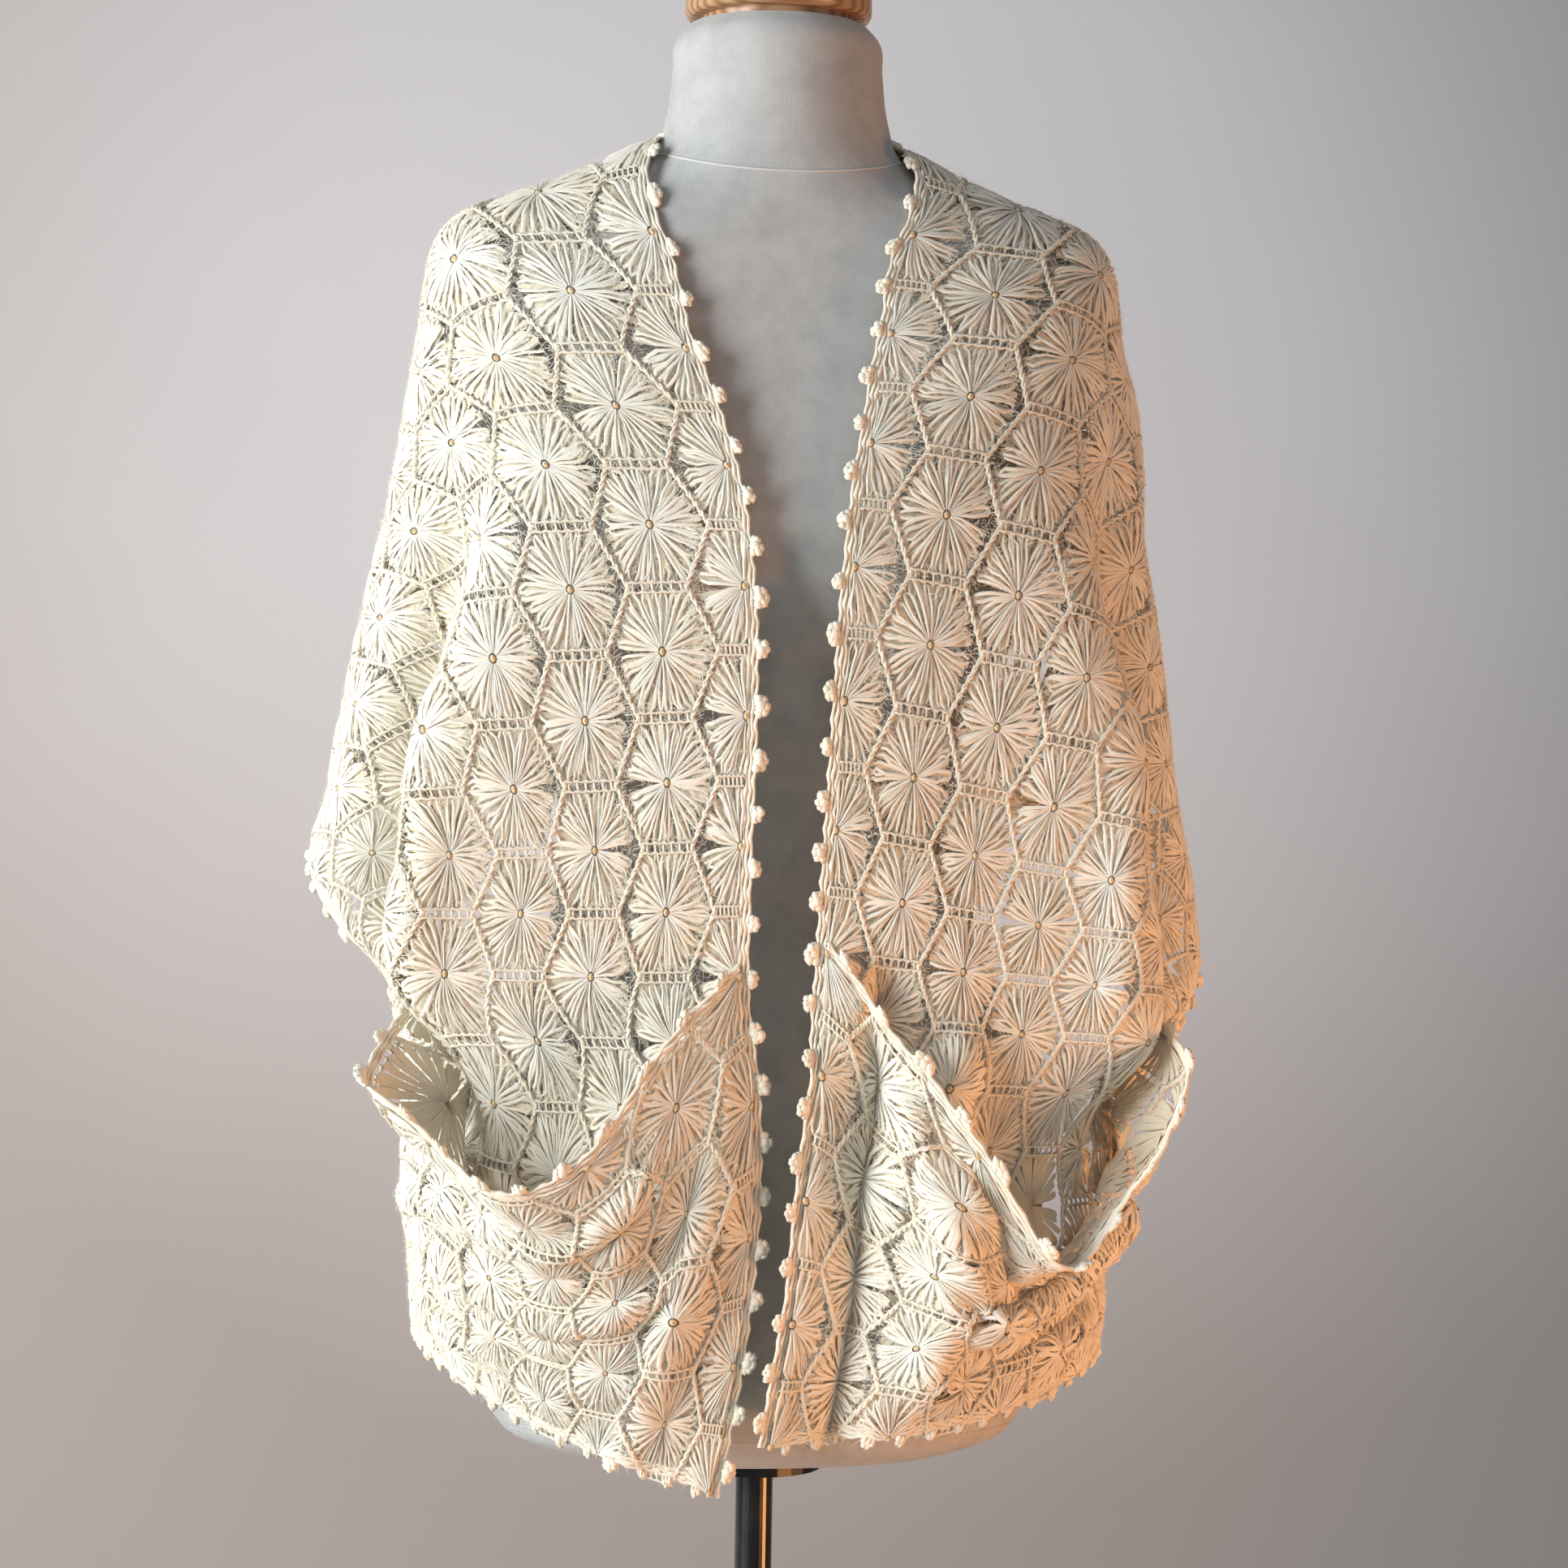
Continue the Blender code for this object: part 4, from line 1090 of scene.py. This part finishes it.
def build_seams(material):
    """The neck seam, the princess seams and the stitched line above the form's bottom edge."""
    pieces = []
    turn = np.linspace(0, 2 * math.pi, 181)
    level = 1.4605 + 0.017 * np.cos(turn) ** 2
    pieces.append(seam_curve(form_point(level, turn), 0.0007, "neck_seam", material))
    for side in (-1, 1):
        for back, turn_at in ((False, 46), (True, 50)):
            heights = np.linspace(0.724, 1.40 if back else 1.36, 90)
            degrees = (turn_at if back else -turn_at) * np.ones_like(heights)
            degrees = degrees if side > 0 else 180 - degrees
            path = form_point(heights, np.radians(degrees))
            name = f"princess_seam_{'back' if back else 'front'}_{'right' if side > 0 else 'left'}"
            pieces.append(seam_curve(path, 0.0006, name, material))
    stitches = MeshMaker()
    count = 300
    for number in range(count):
        start = 2 * math.pi * number / count
        span = np.linspace(start, start + 2 * math.pi / count * 0.62, 3)
        place = form_point(np.full(3, 0.7395), span)[None]
        ahead = np.gradient(place, axis=1)
        ahead /= np.linalg.norm(ahead, axis=-1, keepdims=True)
        up = np.array([0, 0, 1.0])
        out = np.cross(ahead, up)
        turnings = np.linspace(0, 2 * math.pi, 4, endpoint=False)
        ring = up * np.cos(turnings)[:, None] + out[..., None, :] * np.sin(turnings)[:, None]
        stitches.add(place[..., None, :] + ring * 0.0004, strip_faces(1, 3, 4, closed=True))
    pieces.append(stitches.finish("hem_stitches", material))
    return pieces


def turned_piece(name, profile, material, sides=96):
    """A smooth turned body from a profile of radius and height, top to bottom."""
    profile = np.array(profile, float)
    turn = np.linspace(0, 2 * math.pi, sides, endpoint=False)
    x = profile[:, :1] * np.cos(turn)
    y = profile[:, :1] * np.sin(turn)
    z = np.broadcast_to(profile[:, 1:], x.shape)
    maker = MeshMaker()
    maker.add(np.stack([x, y, z], -1), strip_faces(1, len(profile), sides, closed=True)[:, ::-1])
    item = maker.finish(name, material)
    item.data.set_sharp_from_angle(angle=math.radians(40))
    return item


def arc(radius, height, size, start, end, steps=8):
    """Points of a rounded corner about (radius, height)."""
    angles = np.radians(np.linspace(start, end, steps))
    return [(radius + size * math.cos(a), height + size * math.sin(a)) for a in angles]


def build_cap(material):
    bottom = FORM_LEVELS[-1][0] + SEAM
    under = bottom + CAP_BOTTOM
    top = under + CAP_HEIGHT
    profile = [(0.0, top)]
    profile += arc(CAP_RADIUS - 0.014, top - 0.014, 0.014, 90, 8)
    profile += arc(CAP_RADIUS - 0.0045, under + 0.0045, 0.0045, 0, -90, 5)
    profile += [(CAP_NECK_RADIUS, under), (CAP_NECK_RADIUS, bottom), (0.0, bottom)]
    return turned_piece("wooden_cap", profile, material)


def wall_material():
    """Matt wall paint with painted light: lightest round a spot behind the form, with painted shade,
    darker and warmer, away from there, broken by random patches of tone.
    """
    material, nodes, links, shader = node_material("wall_paint_painted_light")
    away = nodes.new("ShaderNodeVectorMath")
    away.operation = "DISTANCE"
    away.inputs[1].default_value = PAINTED_WALL_LIGHT_SPOT
    links.new(object_coordinates(nodes), away.inputs[0])
    # Share of painted shade: none at the painted light spot, full far from it.
    share = nodes.new("ShaderNodeMapRange")
    share.interpolation_type = "SMOOTHSTEP"
    share.inputs["From Min"].default_value = 0.25
    share.inputs["From Max"].default_value = 1.25
    links.new(away.outputs["Value"], share.inputs["Value"])
    cloudy = noise(nodes, 1.6, 3.0)
    links.new(object_coordinates(nodes), cloudy.inputs["Vector"])
    # Random patches of paint tone, added to the painted shade.
    patches_and_painted_shade = nodes.new("ShaderNodeMath")
    patches_and_painted_shade.operation = "MULTIPLY_ADD"
    patches_and_painted_shade.inputs[1].default_value = 0.24
    links.new(cloudy.outputs["Fac"], patches_and_painted_shade.inputs[0])
    painted_shade_offset = nodes.new("ShaderNodeMath")
    painted_shade_offset.operation = "SUBTRACT"
    painted_shade_offset.inputs[1].default_value = 0.12
    links.new(share.outputs["Result"], painted_shade_offset.inputs[0])
    links.new(painted_shade_offset.outputs[0], patches_and_painted_shade.inputs[2])
    # Pale grey is the wall's own paint; the darker, warmer end is painted shade.
    colours = ramp(nodes, ((0.05, (0.68, 0.69, 0.71)), (0.95, (0.42, 0.385, 0.36))))
    links.new(patches_and_painted_shade.outputs[0], colours.inputs["Fac"])
    links.new(colours.outputs["Color"], shader.inputs["Base Color"])
    shader.inputs["Roughness"].default_value = 0.9
    return material


def build_stage():
    wall = wall_material()
    maker = MeshMaker()
    half, depth, corner, height = 4.0, 1.15, 0.35, 3.4
    sweep = [(-4.0, 0.0), (depth - corner, 0.0)]
    sweep += [
        (depth - corner + corner * math.sin(a), corner - corner * math.cos(a))
        for a in np.linspace(0.1, math.pi / 2, 14)
    ]
    sweep += [(depth, height)]
    points = [[(x, y, z) for y, z in sweep] for x in (-half, half)]
    maker.add(np.array(points).transpose(1, 0, 2), strip_faces(1, len(sweep), 2, closed=False))
    backdrop = maker.finish("backdrop", wall)
    backdrop.location.z = -0.0002


def area_light(name, place, aim, size, power, colour, spread=180):
    light = bpy.data.lights.new(name, "AREA")
    light.shape = "RECTANGLE"
    light.size, light.size_y = size
    light.energy = power
    light.color = colour
    light.spread = math.radians(spread)
    item = bpy.data.objects.new(name, light)
    bpy.context.scene.collection.objects.link(item)
    item.location = place
    way = np.array(aim, float) - np.array(place, float)
    item.rotation_euler = bpy_direction(way)
    return item


def bpy_direction(way):
    from mathutils import Vector

    return Vector(way).to_track_quat("-Z", "Y").to_euler()


def build_lights():
    """A cool window on the left, and a low warm glow from the right."""
    cool, warm = (0.92, 0.97, 1.0), (1.0, 0.42, 0.13)
    area_light("window", (-2.6, -1.2, 1.5), (0, 0, 1.05), (1.5, 1.8), 102, cool)
    area_light("low_window", (-2.2, -1.2, 0.7), (-0.1, 0, 0.9), (1.0, 0.8), 13, cool)
    area_light("front", (-0.9, -2.9, 1.5), (-0.1, 0, 1.0), (2.6, 1.8), 3.5, cool)
    area_light("warm_glow", (1.30, -0.85, 0.35), (0.20, 0, 0.84), (0.6, 0.4), 4.4, warm, 85)
    world = bpy.data.worlds.new("soft_room")
    bpy.context.scene.world = world
    world.use_nodes = True
    background = world.node_tree.nodes["Background"]
    background.inputs["Color"].default_value = (0.90, 0.93, 1.0, 1.0)
    background.inputs["Strength"].default_value = 0.235
    bpy.context.scene.view_settings.view_transform = "Standard"


def build_camera():
    from mathutils import Matrix

    data = bpy.data.cameras.new("camera")
    data.sensor_width = 36.0
    data.lens = CAMERA_LENS
    data.shift_x = CAMERA_SHIFT
    camera = bpy.data.objects.new("camera", data)
    bpy.context.scene.collection.objects.link(camera)
    x = CAMERA_DISTANCE * math.sin(CAMERA_TURN)
    y = -CAMERA_DISTANCE * math.cos(CAMERA_TURN)
    look = Matrix.Rotation(CAMERA_TURN, 4, "Z") @ Matrix.Rotation(math.pi / 2, 4, "X")
    lean = Matrix.Rotation(CAMERA_LEAN, 4, "Z")
    camera.matrix_world = Matrix.Translation((x, y, CAMERA_HEIGHT)) @ look @ lean
    bpy.context.scene.camera = camera


def main():
    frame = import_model()
    build_camera()
    build_lights()
    build_stage()
    materials = {
        "yarn": wool_material("petal_wool", (0.98, 0.93, 0.80), (0.90, 0.81, 0.64), 900.0, 0.4, 0.2),
        "cord": wool_material("chain_wool", (0.97, 0.90, 0.75), (0.86, 0.75, 0.56), 1100.0, 0.6),
        "fibre": wool_material("loose_fibre", (0.97, 0.91, 0.78), (0.92, 0.83, 0.67), 300.0, 0.0),
        "knot": wool_material("knot_wool", (0.80, 0.60, 0.36), (0.62, 0.42, 0.21), 900.0, 0.6),
        # The web's cream wool is made darker and warmer tan than the petals: painted shade for the gaps
        # between petals.
        "web": wool_material("felted_web_painted_shade", (0.94, 0.85, 0.67), (0.82, 0.70, 0.50), 1300.0, 0.6),
    }
    body = Sheet(drape_sheet(), -ROWS, 1)
    web = MeshMaker()
    cloth = []
    stretches = (
        ("left_front", (-ROWS, -4.0)),
        ("back", (-4.0, 4.0)),
        ("right_front", (4.0, ROWS + 1)),
    )
    for name, rows in stretches:
        part, pieces = lace_panel(
            name, body, -ROWS, ROWS, rows, materials, covered_from=ROWS - POCKET_ROWS + 1.5
        )
        web.add(*part.gathered())
        cloth += pieces
    pockets = {}
    for side, name in ((-1, "left_pocket"), (1, "right_pocket")):
        sheet = pocket_sheet(body, side)
        part, pieces = lace_panel(name, sheet, 0, POCKET_ROWS, (0, POCKET_ROWS + 1), materials)
        web.add(*part.gathered())
        cloth += pieces
        mouth_rows = MOTIFS_ACROSS * MOTIF_WIDTH / ROW_HEIGHT
        pockets[side] = build_border(
            name + "_border", sheet, mouth_edge, mouth_rows, materials["cord"]
        )
        cloth.append(
            build_border(name + "_fold_border", sheet, fold_edge, mouth_rows, materials["cord"])
        )
    ground = web.finish("shawl_web", materials["web"])
    borders = {
        "front_edging": build_border("front_border", body, front_edge, 2 * ROWS, materials["cord"]),
        "hem_edging": build_border("hem_border", body, hem_edge, 2 * ROWS, materials["cord"]),
    }
    form = build_form(linen_material())
    seam_thread = plain_material("seam_thread", (0.60, 0.59, 0.565), 0.8)
    seams = build_seams(seam_thread)
    cap = build_cap(wood_material())
    black = black_material()
    for name in ("mounting_plate", "pole", "base"):
        frame["nodes"][name].material_slots[0].material = black

    everything = [ground, *cloth, *pockets.values(), *borders.values(), form, *seams, cap]
    for piece in everything:
        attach(piece, "root")
    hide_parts("shawl_body", "left_pocket", "right_pocket")
    for name, piece in borders.items():
        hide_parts(name)
    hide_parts("left_pocket_edging")
    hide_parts("right_pocket_edging")
    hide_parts("form_torso")
    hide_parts("neck_cap")


main()
